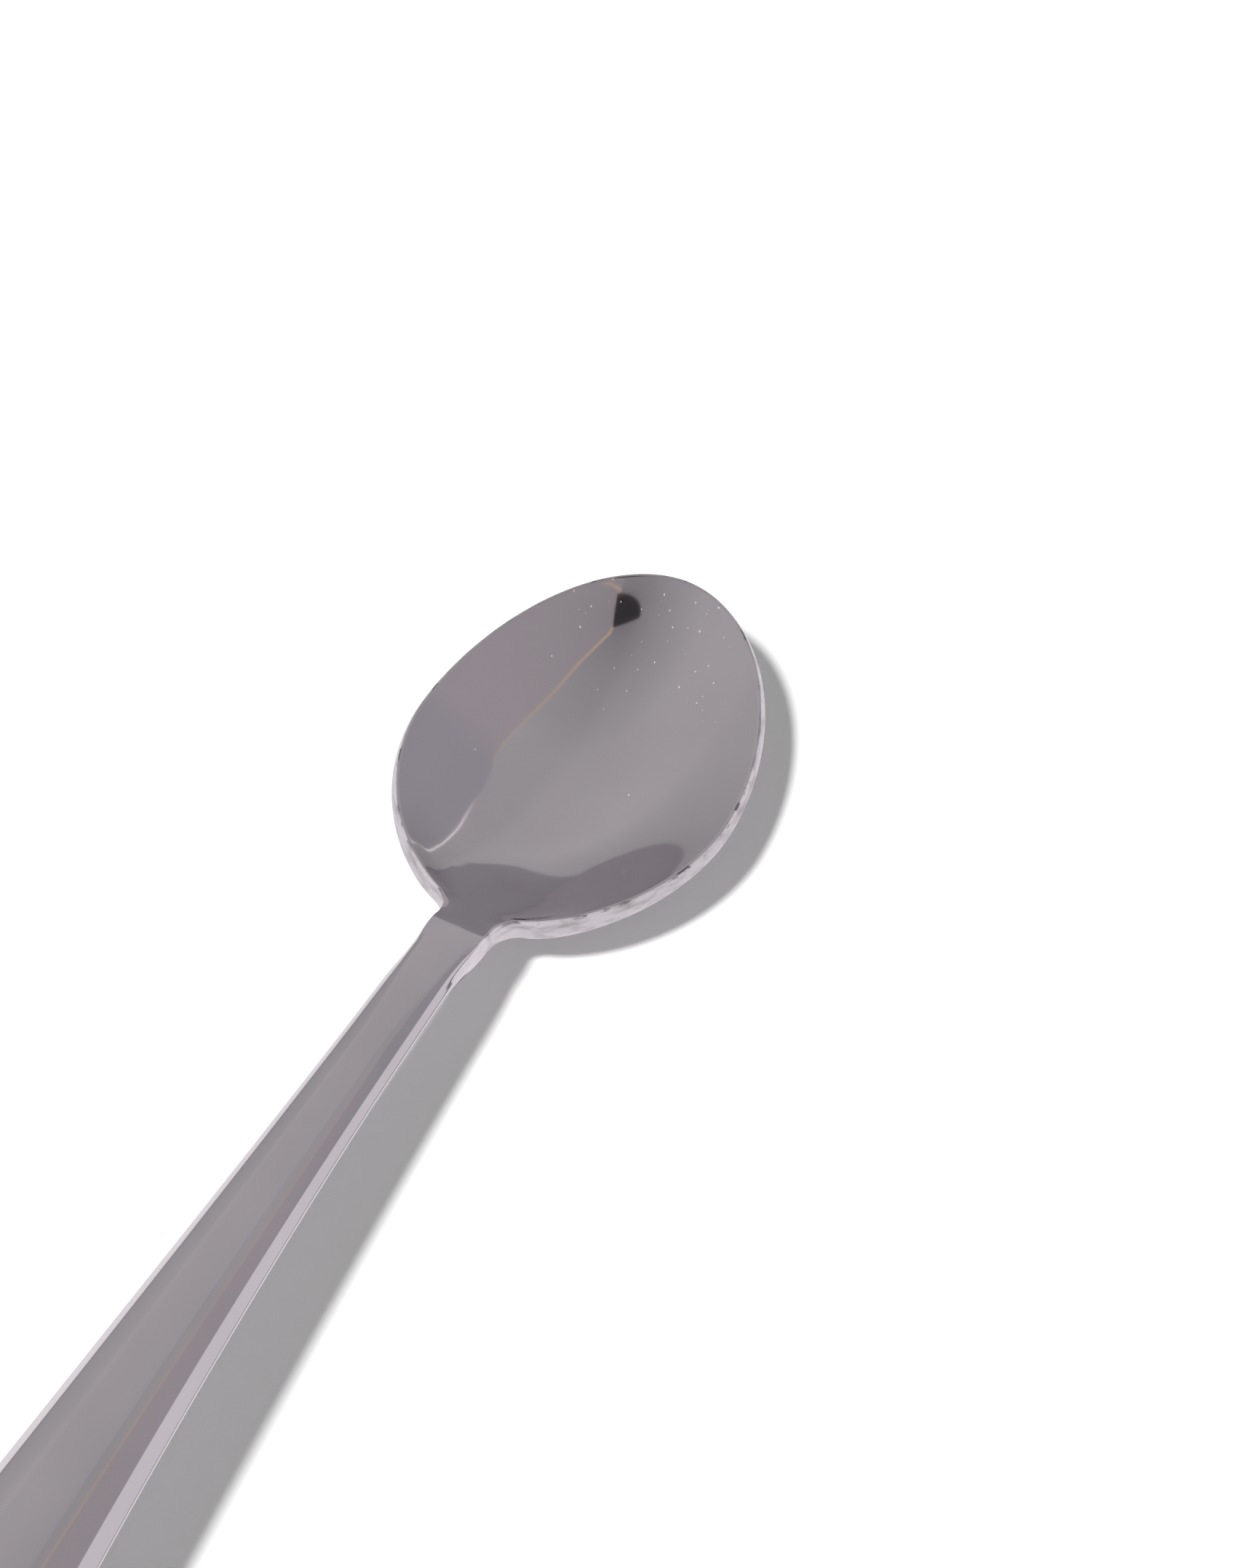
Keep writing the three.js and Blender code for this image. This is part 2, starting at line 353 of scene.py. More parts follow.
@dataclass(frozen=True)
class Bowl(Pressing):
    """The egg-shaped bowl: its outline, its floor, its rim and the slanted face of its edge."""

    width: float = 31.1
    tip_y: float = 70.0
    front: float = 22.8
    back: float = 17.9
    front_power: float = 1.93
    back_power: float = 1.88
    shoulder_radius: float = 2.6
    neck_width: float = 5.3
    crease_back: float = 0.6
    rim_at_neck: float = 7.9
    rim_at_widest: float = 7.6
    rim_at_tip: float = 9.3
    sheet: float = 2.0
    wear: float = 0.2
    neck_slope: float = 8.0
    crease_half: float = 0.7
    crease_turn: float = 0.134
    tip_rise_power: float = 2.4
    ease_at_neck: float = 0.6
    ease_in_bowl: float = 0.2
    ease_fall: float = 9.0
    ease_lead: float = 3.0
    ease_ends: Pair = (56.0, 66.0)
    stand_late: float = 3.0
    stand_fall: float = 6.0
    wall_run: float = 3.8
    rim_dip: float = 0.4
    rim_dip_at: float = 4.0
    under_power: float = 2.5
    edge_at_neck: float = 2.25
    edge_at_tip: float = 1.05
    flare_at_neck: float = 0.74
    flare_at_tip: float = 0.52
    edge_fall: float = 9.0
    flare_start: float = 0.2
    flare_grows: float = 5.0
    neck_thickness: float = 2.4
    fan: float = 0.0066
    shoulder: tuple[float, float, float, float] = field(init=False)

    def __post_init__(self) -> None:
        """Finds the fillet between the neck's side and the shoulder."""
        centre_x = self.neck_width / 2 + self.shoulder_radius
        near, far = 0.0, QUARTER
        for _ in range(HALVINGS):
            angle = (near + far) / 2
            touch = self.outline(np.array([angle]), self.back, self.back_power, -1.0)
            if touch.x[0] + touch.nx[0] * self.shoulder_radius > centre_x:
                near = angle
            else:
                far = angle
        touch = self.outline(np.array([near]), self.back, self.back_power, -1.0)
        turn = math.atan2(-touch.nx[0], -touch.ny[0]) + QUARTER
        centre_y = touch.y[0] + touch.ny[0] * self.shoulder_radius
        object.__setattr__(self, "shoulder", (centre_x, centre_y, near, turn))

    @property
    def widest_y(self) -> float:
        """The line on which the bowl is widest and deepest."""
        return self.tip_y - self.front

    @property
    def neck_y(self) -> float:
        """The line between the bowl and the neck."""
        return self.shoulder[1]

    @property
    def crease_y(self) -> float:
        """The line on which the floor leaves the level of the neck."""
        return self.neck_y - self.crease_back

    @property
    def rim_tip_y(self) -> float:
        """The tip of the upper edge."""
        return self.tip_y - float(self.edge_face(np.array([self.tip_y]))[1][0])

    def outline(self, angle: np.ndarray, reach: float, power: float, side: float) -> Stations:
        """Places on a quarter of the bowl's outline.

        Args:
            angle: 0 on the widest line and a right angle on the middle line.
            reach: length of the quarter along the spoon.
            power: fullness of the curve, where 2 is an ellipse.
            side: 1 in front of the widest line and -1 behind it.

        Returns:
            The places with their outward directions.
        """
        across = np.maximum(np.cos(angle), 0.0) ** (2 / power)
        along = np.sin(angle) ** (2 / power)
        half = self.width / 2
        nx = across ** (power - 1) / half
        ny = side * along ** (power - 1) / reach
        size = np.hypot(nx, ny)
        return Stations(half * across, self.widest_y + side * reach * along, nx / size, ny / size)

    def stations(self, fillet: int, back: int, front: int) -> Stations:
        """The right side of the bowl from the neck to the tip.

        Args:
            fillet: steps along the fillet at the neck.
            back: steps along the shoulder.
            front: steps from the widest line to the tip.

        Returns:
            The places in order.
        """
        centre_x, centre_y, angle, turn = self.shoulder
        turns = np.linspace(0.0, turn, fillet + 1)
        nx, ny = np.cos(turns), -np.sin(turns)
        radius = self.shoulder_radius
        rounding = Stations(centre_x - radius * nx, centre_y - radius * ny, nx, ny)
        shoulder = self.outline(np.linspace(angle, 0.0, back + 1), self.back, self.back_power, -1.0)
        nose = self.outline(np.linspace(0.0, QUARTER, front + 1), self.front, self.front_power, 1.0)
        return Stations.joined([rounding, shoulder, nose])

    def near_neck(self, y: np.ndarray, fall: float) -> np.ndarray:
        """What is left of the form at the neck, by the length over which it falls off."""
        return np.exp(-np.maximum(y - self.neck_y, 0.0) / fall)

    def edge_face(self, y: np.ndarray) -> tuple[np.ndarray, np.ndarray]:
        """The height of the edge face and how far it leans out.

        Args:
            y: places along the spoon.

        Returns:
            The heights and the lean, which is least beside the neck.
        """
        left = self.near_neck(y, self.edge_fall)
        grown = mix(self.flare_start, 1.0, smooth((y - self.crease_y) / self.flare_grows))
        flare = mix(self.flare_at_tip, self.flare_at_neck, left) * grown
        return mix(self.edge_at_tip, self.edge_at_neck, left), flare

    def floor(self, y: np.ndarray) -> np.ndarray:
        """Height of the floor along the middle line.

        Args:
            y: places along the spoon.

        Returns:
            The heights.
        """
        base = self.sheet - self.wear
        rise = np.clip((y - self.widest_y) / (self.rim_tip_y - self.widest_y), 0.0, None)
        front = base + (self.rim_at_tip - base) * rise**self.tip_rise_power
        run = self.widest_y - self.crease_y
        rounded = run - self.neck_slope
        steepness = 2 * (self.rim_at_neck - base) / (run + self.neck_slope)
        behind = np.maximum(self.widest_y - y, 0.0)
        drop = np.where(behind < rounded, behind**2 / (2 * rounded), behind - rounded / 2)
        return np.where(y > self.widest_y, front, base + steepness * drop)

    def eased(self, y: np.ndarray) -> np.ndarray:
        """How much the crease at the neck is lowered where it is rounded off.

        Args:
            y: places along the spoon.

        Returns:
            How far the top lies lower there.
        """
        off = np.clip(y - self.crease_y, -self.crease_half, self.crease_half)
        rounded = (off + self.crease_half) ** 2 / (4 * self.crease_half)
        return self.crease_turn * (rounded - np.maximum(off, 0.0))

    def ease(self, y: np.ndarray) -> np.ndarray:
        """How much flatter than a parabola the walls are towards the rim.

        Args:
            y: places along the spoon.

        Returns:
            The share by which they rise sooner.
        """
        left = self.near_neck(y, self.ease_fall)
        start, end = self.ease_ends
        begun = smooth((y - self.crease_y + self.ease_lead) / self.ease_lead)
        kept = begun * (1.0 - smooth((y - start) / (end - start)))
        return mix(self.ease_in_bowl, self.ease_at_neck, left) * kept

    def wall_power(self, y: np.ndarray) -> np.ndarray:
        """The power by which the walls rise: 2 in the bowl, and more near the neck, where they rise late."""
        ahead = (y - self.crease_y) / self.stand_fall
        return 2.0 + np.where(ahead < 0.0, 0.0, self.stand_late * np.exp(-(ahead**2)))

    def rim(self, y: np.ndarray) -> np.ndarray:
        """Height of the upper edge, which leaves the level of the floor ahead of the crease.

        Args:
            y: places along the spoon.

        Returns:
            The heights.
        """
        behind = y < self.widest_y
        end = np.where(behind, self.crease_y, self.rim_tip_y)
        share = (y - self.widest_y) / (end - self.widest_y)
        high = mix(self.rim_at_widest, np.where(behind, self.rim_at_neck, self.rim_at_tip), share**2)
        ahead = np.maximum(y - self.crease_y, 0.0) / self.rim_dip_at
        high = high - self.rim_dip * ahead * np.exp(1.0 - ahead)
        left = np.exp(-(((y - self.crease_y) / self.wall_run) ** 2))
        return mix(self.floor(y), high, np.where(y < self.crease_y, 1.0, 1.0 - left))

    def metal(self, y: np.ndarray) -> np.ndarray:
        """Thickness of the sheet along the middle line.

        Args:
            y: places along the spoon.

        Returns:
            The thickness at each place.
        """
        from_neck = smooth((y - self.neck_y) / (self.widest_y - self.neck_y))
        to_tip = np.clip((y - self.widest_y) / (self.rim_tip_y - self.widest_y), 0.0, 1.0)
        return mix(mix(self.neck_thickness, self.sheet, from_neck), self.edge_at_tip, to_tip)

    def build(self, skin: Skin) -> list[tuple[Any, Zone]]:
        """The bowl's piece with its zone."""
        return [(skin.piece(Zone.BOWL), Zone.BOWL)]


@dataclass(frozen=True)
class Press:
    """The tool that bends a flat handle blank to its arch, as a tree of Geometry Nodes."""

    crease_y: float
    end_y: float
    neck_height: float
    crest_height: float
    crest_distance: float
    end_height: float
    fall_power: float

    def sizes(self) -> dict[str, float]:
        """The tree's named inputs, in metres where they are lengths.

        Returns:
            The value of each input by its name.
        """
        return {
            "Crease place": self.crease_y * MM,
            "End place": self.end_y * MM,
            "Neck height": self.neck_height * MM,
            "Crest height": self.crest_height * MM,
            "Crest distance": self.crest_distance * MM,
            "End height": self.end_height * MM,
            "Fall power": self.fall_power,
        }

    def tree(self) -> Any:
        """Builds the tree: it lifts each point by the arch over its place along the spoon.

        Returns:
            The node group, with one named input for each size and one for the steel.
        """
        tree = bpy.data.node_groups.new("press the arch", "GeometryNodeTree")
        tree.interface.new_socket("Geometry", in_out="INPUT", socket_type="NodeSocketGeometry")
        for name in self.sizes():
            tree.interface.new_socket(name, in_out="INPUT", socket_type="NodeSocketFloat")
        tree.interface.new_socket("Steel", in_out="INPUT", socket_type="NodeSocketMaterial")
        tree.interface.new_socket("Geometry", in_out="OUTPUT", socket_type="NodeSocketGeometry")
        given = add_node(tree, "NodeGroupInput").node.outputs
        place = add_node(tree, "GeometryNodeInputPosition")
        split = add_node(tree, SPLIT, {}, {0: place}).node.outputs
        gone = add_node(tree, MATH, MINUS, {0: given["Crease place"], 1: split["Y"]})
        # Between the crease and the crest the arch is a parabola.
        part = add_node(tree, MATH, OVER, {0: gone, 1: given["Crest distance"]})
        left = add_node(tree, MATH, MINUS, {0: 1.0, 1: part})
        left = add_node(tree, MATH, LARGER, {0: left, 1: 0.0})
        bent = add_node(tree, MATH, TIMES, {0: left, 1: left})
        climb = add_node(tree, MATH, MINUS, {0: given["Crest height"], 1: given["Neck height"]})
        near = add_node(tree, MATH, TIMES, {0: bent, 1: climb})
        # Behind the crest it drops late, by a power of the distance.
        past = add_node(tree, MATH, MINUS, {0: gone, 1: given["Crest distance"]})
        past = add_node(tree, MATH, LARGER, {0: past, 1: 0.0})
        length = add_node(tree, MATH, MINUS, {0: given["Crease place"], 1: given["End place"]})
        length = add_node(tree, MATH, MINUS, {0: length, 1: given["Crest distance"]})
        share = add_node(tree, MATH, OVER, {0: past, 1: length})
        late = add_node(tree, MATH, POWER, {0: share, 1: given["Fall power"]})
        fall = add_node(tree, MATH, MINUS, {0: given["Crest height"], 1: given["End height"]})
        far = add_node(tree, MATH, TIMES, {0: late, 1: fall})
        arch = add_node(tree, MATH, MINUS, {0: given["Crest height"], 1: near})
        arch = add_node(tree, MATH, MINUS, {0: arch, 1: far})
        # The table wears flat what would reach under it.
        lifted = add_node(tree, MATH, PLUS, {0: split["Z"], 1: arch})
        lying = add_node(tree, MATH, LARGER, {0: lifted, 1: 0.0})
        whole = add_node(tree, JOIN, {}, {0: split["X"], 1: split["Y"], 2: lying})
        shape = given["Geometry"]
        for kind, links in (
            ("GeometryNodeSetPosition", {"Position": whole}),
            ("GeometryNodeRealizeInstances", {}),
            ("GeometryNodeSetMaterial", {"Material": given["Steel"]}),
        ):
            shape = add_node(tree, kind, {}, {"Geometry": shape, **links})
        add_node(tree, "NodeGroupOutput", {}, {"Geometry": shape})
        return tree

    def stroke(self, blank: Any, tree: Any, steel: Any) -> None:
        """Presses a blank, and leaves its object with the finished plain mesh.

        Args:
            blank: the object with the flat blank.
            tree: the press as a node group.
            steel: the material.
        """
        tool = blank.modifiers.new("press", "NODES")
        tool.node_group = tree
        values = {**self.sizes(), "Steel": steel}
        for item in tree.interface.items_tree:
            if item.in_out == "INPUT" and item.name in values:
                tool[item.identifier] = values[item.name]
        graph = bpy.context.evaluated_depsgraph_get()
        pressed = bpy.data.meshes.new_from_object(
            blank.evaluated_get(graph), preserve_all_data_layers=True, depsgraph=graph
        )
        blank.modifiers.remove(tool)
        flat, blank.data = blank.data, pressed
        bpy.data.meshes.remove(flat)
        pressed.name = blank.name


@dataclass(frozen=True)
class Handle(Pressing):
    """The neck, the arched handle and its broad rounded end."""

    end_y: float = -70.0
    neck_width: float = 5.3
    neck_length: float = 8.0
    width: float = 15.2
    widen_power: float = 1.72
    end_round: float = 14.0
    end_piece: float = 24.0
    arch_top: float = 12.1
    arch_from_neck: float = 64.0
    fall_power: float = 2.3
    end_height: float = 1.4
    crown_slope: float = 0.16
    crown_fade: float = 3.0
    # The margins of the top are bevelled: a narrow strip at the neck, and half the width farther back.
    bevel_slope: float = 0.33
    bevel_from: Pair = (0.9, 0.45)
    bevel_run: float = 14.0
    bevel_round: float = 0.05
    rise: float = 0.5
    rise_at: float = 8.0
    chamfer_at_neck: float = 0.51
    chamfer_at_end: float = 1.03
    chamfer_run: float = 78.0
    wall: float = 0.48
    under_crown: float = 0.2
    under_inset: float = 0.2
    fan: float = 0.024

    @property
    def round_y(self) -> float:
        """The line on which the end begins to round off."""
        return self.end_y + self.end_round

    @property
    def broad_y(self) -> float:
        """The line between the handle and its broad end."""
        return self.end_y + self.end_piece

    def half(self, y: np.ndarray, neck_y: float) -> np.ndarray:
        """Half the width before the end is rounded off."""
        share = np.maximum((neck_y - y) / (neck_y - self.round_y), 0.0)
        return mix(self.neck_width, self.width, share**self.widen_power) / 2

    def arch(self, y: np.ndarray, crease_y: float, rim: float) -> np.ndarray:
        """Height of the top along the middle line.

        Args:
            y: places along the spoon.
            crease_y: the line of the crease at the neck.
            rim: height of the top at that crease.

        Returns:
            The heights.
        """
        from_neck = crease_y - y
        near = self.arch_top - (self.arch_top - rim) * (1 - from_neck / self.arch_from_neck) ** 2
        length = crease_y - self.end_y - self.arch_from_neck
        share = np.maximum(from_neck - self.arch_from_neck, 0.0) / length
        far = self.arch_top - (self.arch_top - self.end_height) * share**self.fall_power
        return np.where(from_neck < self.arch_from_neck, near, far)

    def chamfer(self, y: np.ndarray, neck_y: float) -> np.ndarray:
        """Width of the slope along the edges, which grows from the neck."""
        return mix(self.chamfer_at_neck, self.chamfer_at_end, smooth((neck_y - y) / self.chamfer_run))

    def risen(self, y: np.ndarray, crease_y: float) -> np.ndarray:
        """How much the top stands over its arch behind the neck."""
        gone = np.maximum(crease_y - y, 0.0) / self.rise_at
        return self.rise * gone * np.exp(1.0 - gone)

    def section(self, share: np.ndarray, y: np.ndarray, crease_y: float) -> np.ndarray:
        """How far the top lies under its middle, across its width.

        Args:
            share: distance from the middle line as a share of half the width.
            y: place along the spoon.
            crease_y: the line of the crease at the neck.

        Returns:
            The drop as a share of half the width.
        """
        start = mix(*self.bevel_from, smooth((crease_y - y) / self.bevel_run))
        soft = self.bevel_round
        turned = (share - start + np.sqrt((share - start) ** 2 + soft**2)) / 2
        level = (np.sqrt(start**2 + soft**2) - start) / 2
        return self.crown_slope * share**2 / 2 + self.bevel_slope * (turned - level)

    def sides(self, low: float, high: float, steps: int, neck_y: float) -> Stations:
        """Places along the straight side between two lines."""
        y = np.linspace(low, high, steps + 1)
        return Stations(self.half(y, neck_y), y, np.ones_like(y), np.zeros_like(y))

    def rounded_end(self, steps: int, neck_y: float) -> Stations:
        """Places round the end, from its middle to where the side begins.

        Args:
            steps: how many steps the quarter has.
            neck_y: the line between the bowl and the neck.

        Returns:
            The places with their outward directions.
        """
        angle = np.linspace(0.0, QUARTER, steps + 1)
        y = self.round_y - self.end_round * np.cos(angle)
        half = self.half(y, neck_y)
        nx, ny = np.sin(angle) / half, -np.cos(angle) / self.end_round
        size = np.hypot(nx, ny)
        return Stations(half * np.sin(angle), y, nx / size, ny / size)

    def build(self, skin: Skin, bowl: Bowl, steel: Any) -> list[tuple[Any, Zone]]:
        """The pieces of the neck, the handle and its end. The last two are pressed from flat blanks.

        Args:
            skin: the whole surface.
            bowl: the bowl that the neck runs into.
            steel: the material.

        Returns:
            Each piece with its zone.
        """
        made = [(skin.piece(Zone.NECK), Zone.NECK)]
        press = Press(
            crease_y=bowl.crease_y,
            end_y=self.end_y,
            neck_height=bowl.rim_at_neck,
            crest_height=self.arch_top,
            crest_distance=self.arch_from_neck,
            end_height=self.end_height,
            fall_power=self.fall_power,
        )
        tree = press.tree()
        lowered = self.arch(skin.rings[..., 1], bowl.crease_y, bowl.rim_at_neck)
        for zone in (Zone.HANDLE, Zone.END):
            blank = skin.piece(zone, lowered)
            press.stroke(blank, tree, steel)
            made.append((blank, zone))
        return made


@dataclass(frozen=True)
class Fineness:
    """How many steps the surface has."""

    end: int = 60
    broad: int = 36
    handle: int = 150
    neck: int = 48
    fillet: int = 34
    back: int = 110
    front: int = 120
    dish: int = 46
    corner: int = 7
    face: int = 6
    under: int = 26


@dataclass(frozen=True)
class Form:
    """The shape of the whole spoon in millimetres: +Y to the tip, +Z up, the table at 0."""

    bowl: Bowl = field(default_factory=Bowl)
    handle: Handle = field(default_factory=Handle)
    fine: Fineness = field(default_factory=Fineness)
    top_round: float = 0.24
    side_round: float = 0.25
    under_round: float = 0.3
    # The most of a face, and of the way to the middle, that a rounding takes.
    round_share: float = 0.45
    inner_share: float = 0.9
    # Points of the dish stand closer towards the edge.
    dish_power: float = 1.25

    def share_of_bowl(self, y: np.ndarray) -> np.ndarray:
        """0 on the handle, 1 in the bowl, and a gentle change over the neck."""
        return smooth(1 - (self.bowl.neck_y - y) / self.handle.neck_length)

    def middle(self, y: np.ndarray) -> np.ndarray:
        """Height of the top along the middle line of the whole spoon.

        Args:
            y: places along the spoon.

        Returns:
            The heights.
        """
        arch = self.handle.arch(y, self.bowl.crease_y, self.bowl.rim_at_neck)
        arch = arch + self.handle.risen(y, self.bowl.crease_y)
        sharp = np.where(y < self.bowl.crease_y, arch, self.bowl.floor(y))
        return sharp - self.bowl.eased(y)

    def crown(self, y: np.ndarray) -> np.ndarray:
        """How far the sides of the handle's top lie under its middle, at the full width.

        Args:
            y: places along the spoon.

        Returns:
            The drop at each place, which fades out at the neck.
        """
        fade = smooth((self.bowl.crease_y - y) / self.handle.crown_fade)
        half = self.handle.half(y, self.bowl.neck_y) - self.handle.chamfer(y, self.bowl.neck_y)
        return self.handle.section(np.ones_like(y), y, self.bowl.crease_y) * half * fade

    def top(self, x: np.ndarray, y: np.ndarray, edge_x: np.ndarray) -> np.ndarray:
        """Height of the upper surface.

        Args:
            x: distance from the middle line.
            y: place along the spoon.
            edge_x: half the width of the upper surface there.

        Returns:
            The heights.
        """
        neck_y = self.bowl.neck_y
        half = self.handle.half(y, neck_y) - self.handle.chamfer(y, neck_y)
        crease_y = self.bowl.crease_y
        on_handle = y < crease_y
        across = self.handle.section(np.abs(x) / half, y, crease_y)
        across = across / self.handle.section(np.ones_like(y), y, crease_y)
        wall = np.abs(x / np.maximum(edge_x, TINY)) ** self.bowl.wall_power(y)
        share = np.where(on_handle, across, wall)
        share = share * (1 + self.bowl.ease(y) * (1 - share))
        arch = self.handle.arch(y, crease_y, self.bowl.rim_at_neck) + self.handle.risen(y, crease_y)
        edge = np.where(on_handle, arch - self.crown(y), self.bowl.rim(y))
        return mix(self.middle(y), edge, share)

    def under(self, x: np.ndarray, y: np.ndarray, edge_x: np.ndarray) -> np.ndarray:
        """Height of the underside.

        Args:
            x: distance from the middle line.
            y: place along the spoon.
            edge_x: half the width of the underside there.

        Returns:
            The heights.
        """
        bowl, handle, neck_y = self.bowl, self.handle, self.bowl.neck_y
        edge = self.middle(y) - self.crown(y) - handle.chamfer(y, neck_y) - handle.wall
        half = handle.half(y, neck_y) - handle.under_inset
        arched = edge - handle.under_crown * (1 - (x / half) ** 2)
        deep = self.middle(y) - bowl.metal(y)
        rim_under = bowl.rim(y) - bowl.edge_face(y)[0]
        share = np.minimum(x / np.maximum(edge_x, TINY), 1.0)
        lofted = mix(deep, rim_under, share**bowl.under_power)
        return mix(arched, lofted, self.share_of_bowl(y))

    def outline(self) -> tuple[Stations, dict[Zone, tuple[int, int]]]:
        """The right side of the whole spoon, and the first and last place of each zone on it.

        Returns:
            The places in order, and two numbers of places for each zone.
        """
        bowl, handle, fine = self.bowl, self.handle, self.fine
        neck_y = bowl.neck_y
        start_y = neck_y - handle.neck_length
        runs = [
            handle.rounded_end(fine.end, neck_y),
            handle.sides(handle.round_y, handle.broad_y, fine.broad, neck_y),
            handle.sides(handle.broad_y, start_y, fine.handle, neck_y),
            handle.sides(start_y, neck_y, fine.neck, neck_y),
            bowl.stations(fine.fillet, fine.back, fine.front),
        ]
        # The rounding and the straight stretch behind it are one zone, the broad end.
        ends = [0, *np.cumsum([len(run.x) - 1 for run in runs]).tolist()[1:]]
        return Stations.joined(runs), dict(zip(Zone, zip(ends, ends[1:])))

    def skin(self) -> Skin:
        """Builds the rings of the whole surface.

        Returns:
            The surface, with its marks and with the rings at which it is cut.
        """
        bowl, handle, fine = self.bowl, self.handle, self.fine
        neck_y = bowl.neck_y
        places, cuts = self.outline()
        share = self.share_of_bowl(places.y)
        height, flare = bowl.edge_face(places.y)
        slope = handle.chamfer(places.y, neck_y)
        top = places.inset(mix(slope, flare, share))
        side = places.inset(share * flare / 2)
        under = places.inset(mix(handle.under_inset, 0.0, share))
        in_bowl = top[:, 1] >= neck_y - handle.neck_length
        ahead = np.maximum(places.y - neck_y, 0.0)
        behind = np.maximum(handle.round_y - places.y, 0.0)
        spine_y = top[:, 1] - bowl.fan * ahead**2 + handle.fan * behind**2
        spine = np.stack([np.zeros_like(spine_y), spine_y], axis=1)
        right: list[np.ndarray] = []
        mask: list[float] = []

        def inwards(line: np.ndarray, surface: Any, way: np.ndarray) -> np.ndarray:
            """Points of the top or the underside, a share of the way from its edge line to the spine.

            Args:
                line: the edge line in plan.
                surface: the height of that side, from x, y and half the width.
                way: the share for each place.

            Returns:
                The points.
            """
            plan = mix(line, spine, way[:, None])
            edge_here = np.interp(plan[:, 1], line[in_bowl, 1], line[in_bowl, 0])
            return np.column_stack([plan, surface(plan[:, 0], plan[:, 1], edge_here)])

        top_z = self.top(top[:, 0], top[:, 1], top[:, 0])
        t_point = np.column_stack([top, top_z])
        s_point = np.column_stack([side, top_z - mix(slope, height / 2, share)])
        u_point = inwards(under, self.under, np.zeros_like(spine_y))
        length_in = np.maximum(np.hypot(*(top - spine).T), TINY)
        length_ts = np.linalg.norm(s_point - t_point, axis=1)
        length_su = np.linalg.norm(u_point - s_point, axis=1)
        cut_t = np.minimum(self.top_round, self.round_share * length_ts)
        cut_s = np.minimum(self.side_round, self.round_share * np.minimum(length_ts, length_su))
        cut_u = np.minimum(self.under_round, self.round_share * length_su)
        share_t = np.minimum(cut_t / length_in, self.inner_share)
        share_u = np.minimum(cut_u / length_in, self.inner_share)
        for t in np.linspace(0.0, 1.0, fine.dish + 1)[:-1]:
            gone = 1 - (1 - t) ** self.dish_power
            right.append(inwards(top, self.top, 1 - (1 - share_t) * gone))
            mask.append(0.0)

        def bend(first: np.ndarray, corner: np.ndarray, last: np.ndarray, mark: Pair) -> None:
            """Rounds a corner of the rings with a short curve, and marks how much of it is edge.

            Args:
                first: where the curve begins.
                corner: the corner that it cuts off.
                last: where the curve ends.
                mark: how much is edge at both ends.
            """
            for t in np.linspace(0.0, 1.0, fine.corner + 1):
                right.append((1 - t) ** 2 * first + 2 * t * (1 - t) * corner + t**2 * last)
                mask.append(mix(*mark, float(smooth(t))))

        def run_face(first: np.ndarray, last: np.ndarray) -> None:
            """Adds the flat stretch of the edge between two rounded corners.

            Args:
                first: where the stretch begins.
                last: where it ends.
            """
            for t in np.linspace(0.0, 1.0, fine.face + 1)[1:-1]:
                right.append(mix(first, last, t))
                mask.append(1.0)

        after_t = mix(t_point, s_point, (cut_t / length_ts)[:, None])
        before_s = mix(s_point, t_point, (cut_s / length_ts)[:, None])
        after_s = mix(s_point, u_point, (cut_s / length_su)[:, None])
        before_u = mix(u_point, s_point, (cut_u / length_su)[:, None])
        bend(inwards(top, self.top, share_t), t_point, after_t, (0.0, 1.0))
        run_face(after_t, before_s)
        bend(before_s, s_point, after_s, (1.0, 1.0))
        run_face(after_s, before_u)
        bend(before_u, u_point, inwards(under, self.under, share_u), (1.0, 0.0))
        for t in np.linspace(0.0, 1.0, fine.under + 1)[1:]:
            right.append(inwards(under, self.under, mix(share_u, 1.0, t)))
            mask.append(0.0)
        half_ring = np.stack(right, axis=1)
        half_ring[:, 0, 0] = 0.0
        half_ring[:, -1, 0] = 0.0
        left = half_ring[:, -2:0:-1].copy()
        left[:, :, 0] *= -1
        rings = np.concatenate([half_ring, left], axis=1)
        reach = np.linalg.norm(np.diff(half_ring, axis=1), axis=2)
        down = np.concatenate([np.zeros((len(rings), 1)), np.cumsum(reach, axis=1)], axis=1)
        down = np.maximum(down - down[:, fine.dish : fine.dish + 1], 0.0)
        marks = np.tile(np.array(mask + mask[-2:0:-1]), (len(rings), 1))
        step = np.hypot(np.diff(places.x), np.diff(places.y))
        along = np.concatenate([[0.0], np.cumsum(step)])
        return Skin(rings, marks, np.concatenate([down, down[:, -2:0:-1]], axis=1), along, cuts)


@dataclass(frozen=True)
class Surface:
    """The sockets of a place on the steel: on the object, and in millimetres along and down its edge."""

    tree: Any
    place: Any
    y: Any
    edge: Any
    along: Any
    down: Any
    where: Any

    @staticmethod
    def of(tree: Any) -> "Surface":
        """Takes the place from the object and from the marks that its surface carries.

        Args:
            tree: the material's node tree.

        Returns:
            The sockets.
        """
        place = add_node(tree, "ShaderNodeTexCoord", out="Object")
        y = add_node(tree, SPLIT, {}, {0: place}, out="Y")
        edge, along, down = (
            add_node(tree, "ShaderNodeAttribute", {"attribute_name": mark.value}, out="Fac")
            for mark in (Mark.EDGE, Mark.ALONG, Mark.DOWN)
        )
        where = add_node(tree, JOIN, {}, {0: along, 1: down})
        return Surface(tree, place, y, edge, along, down, where)


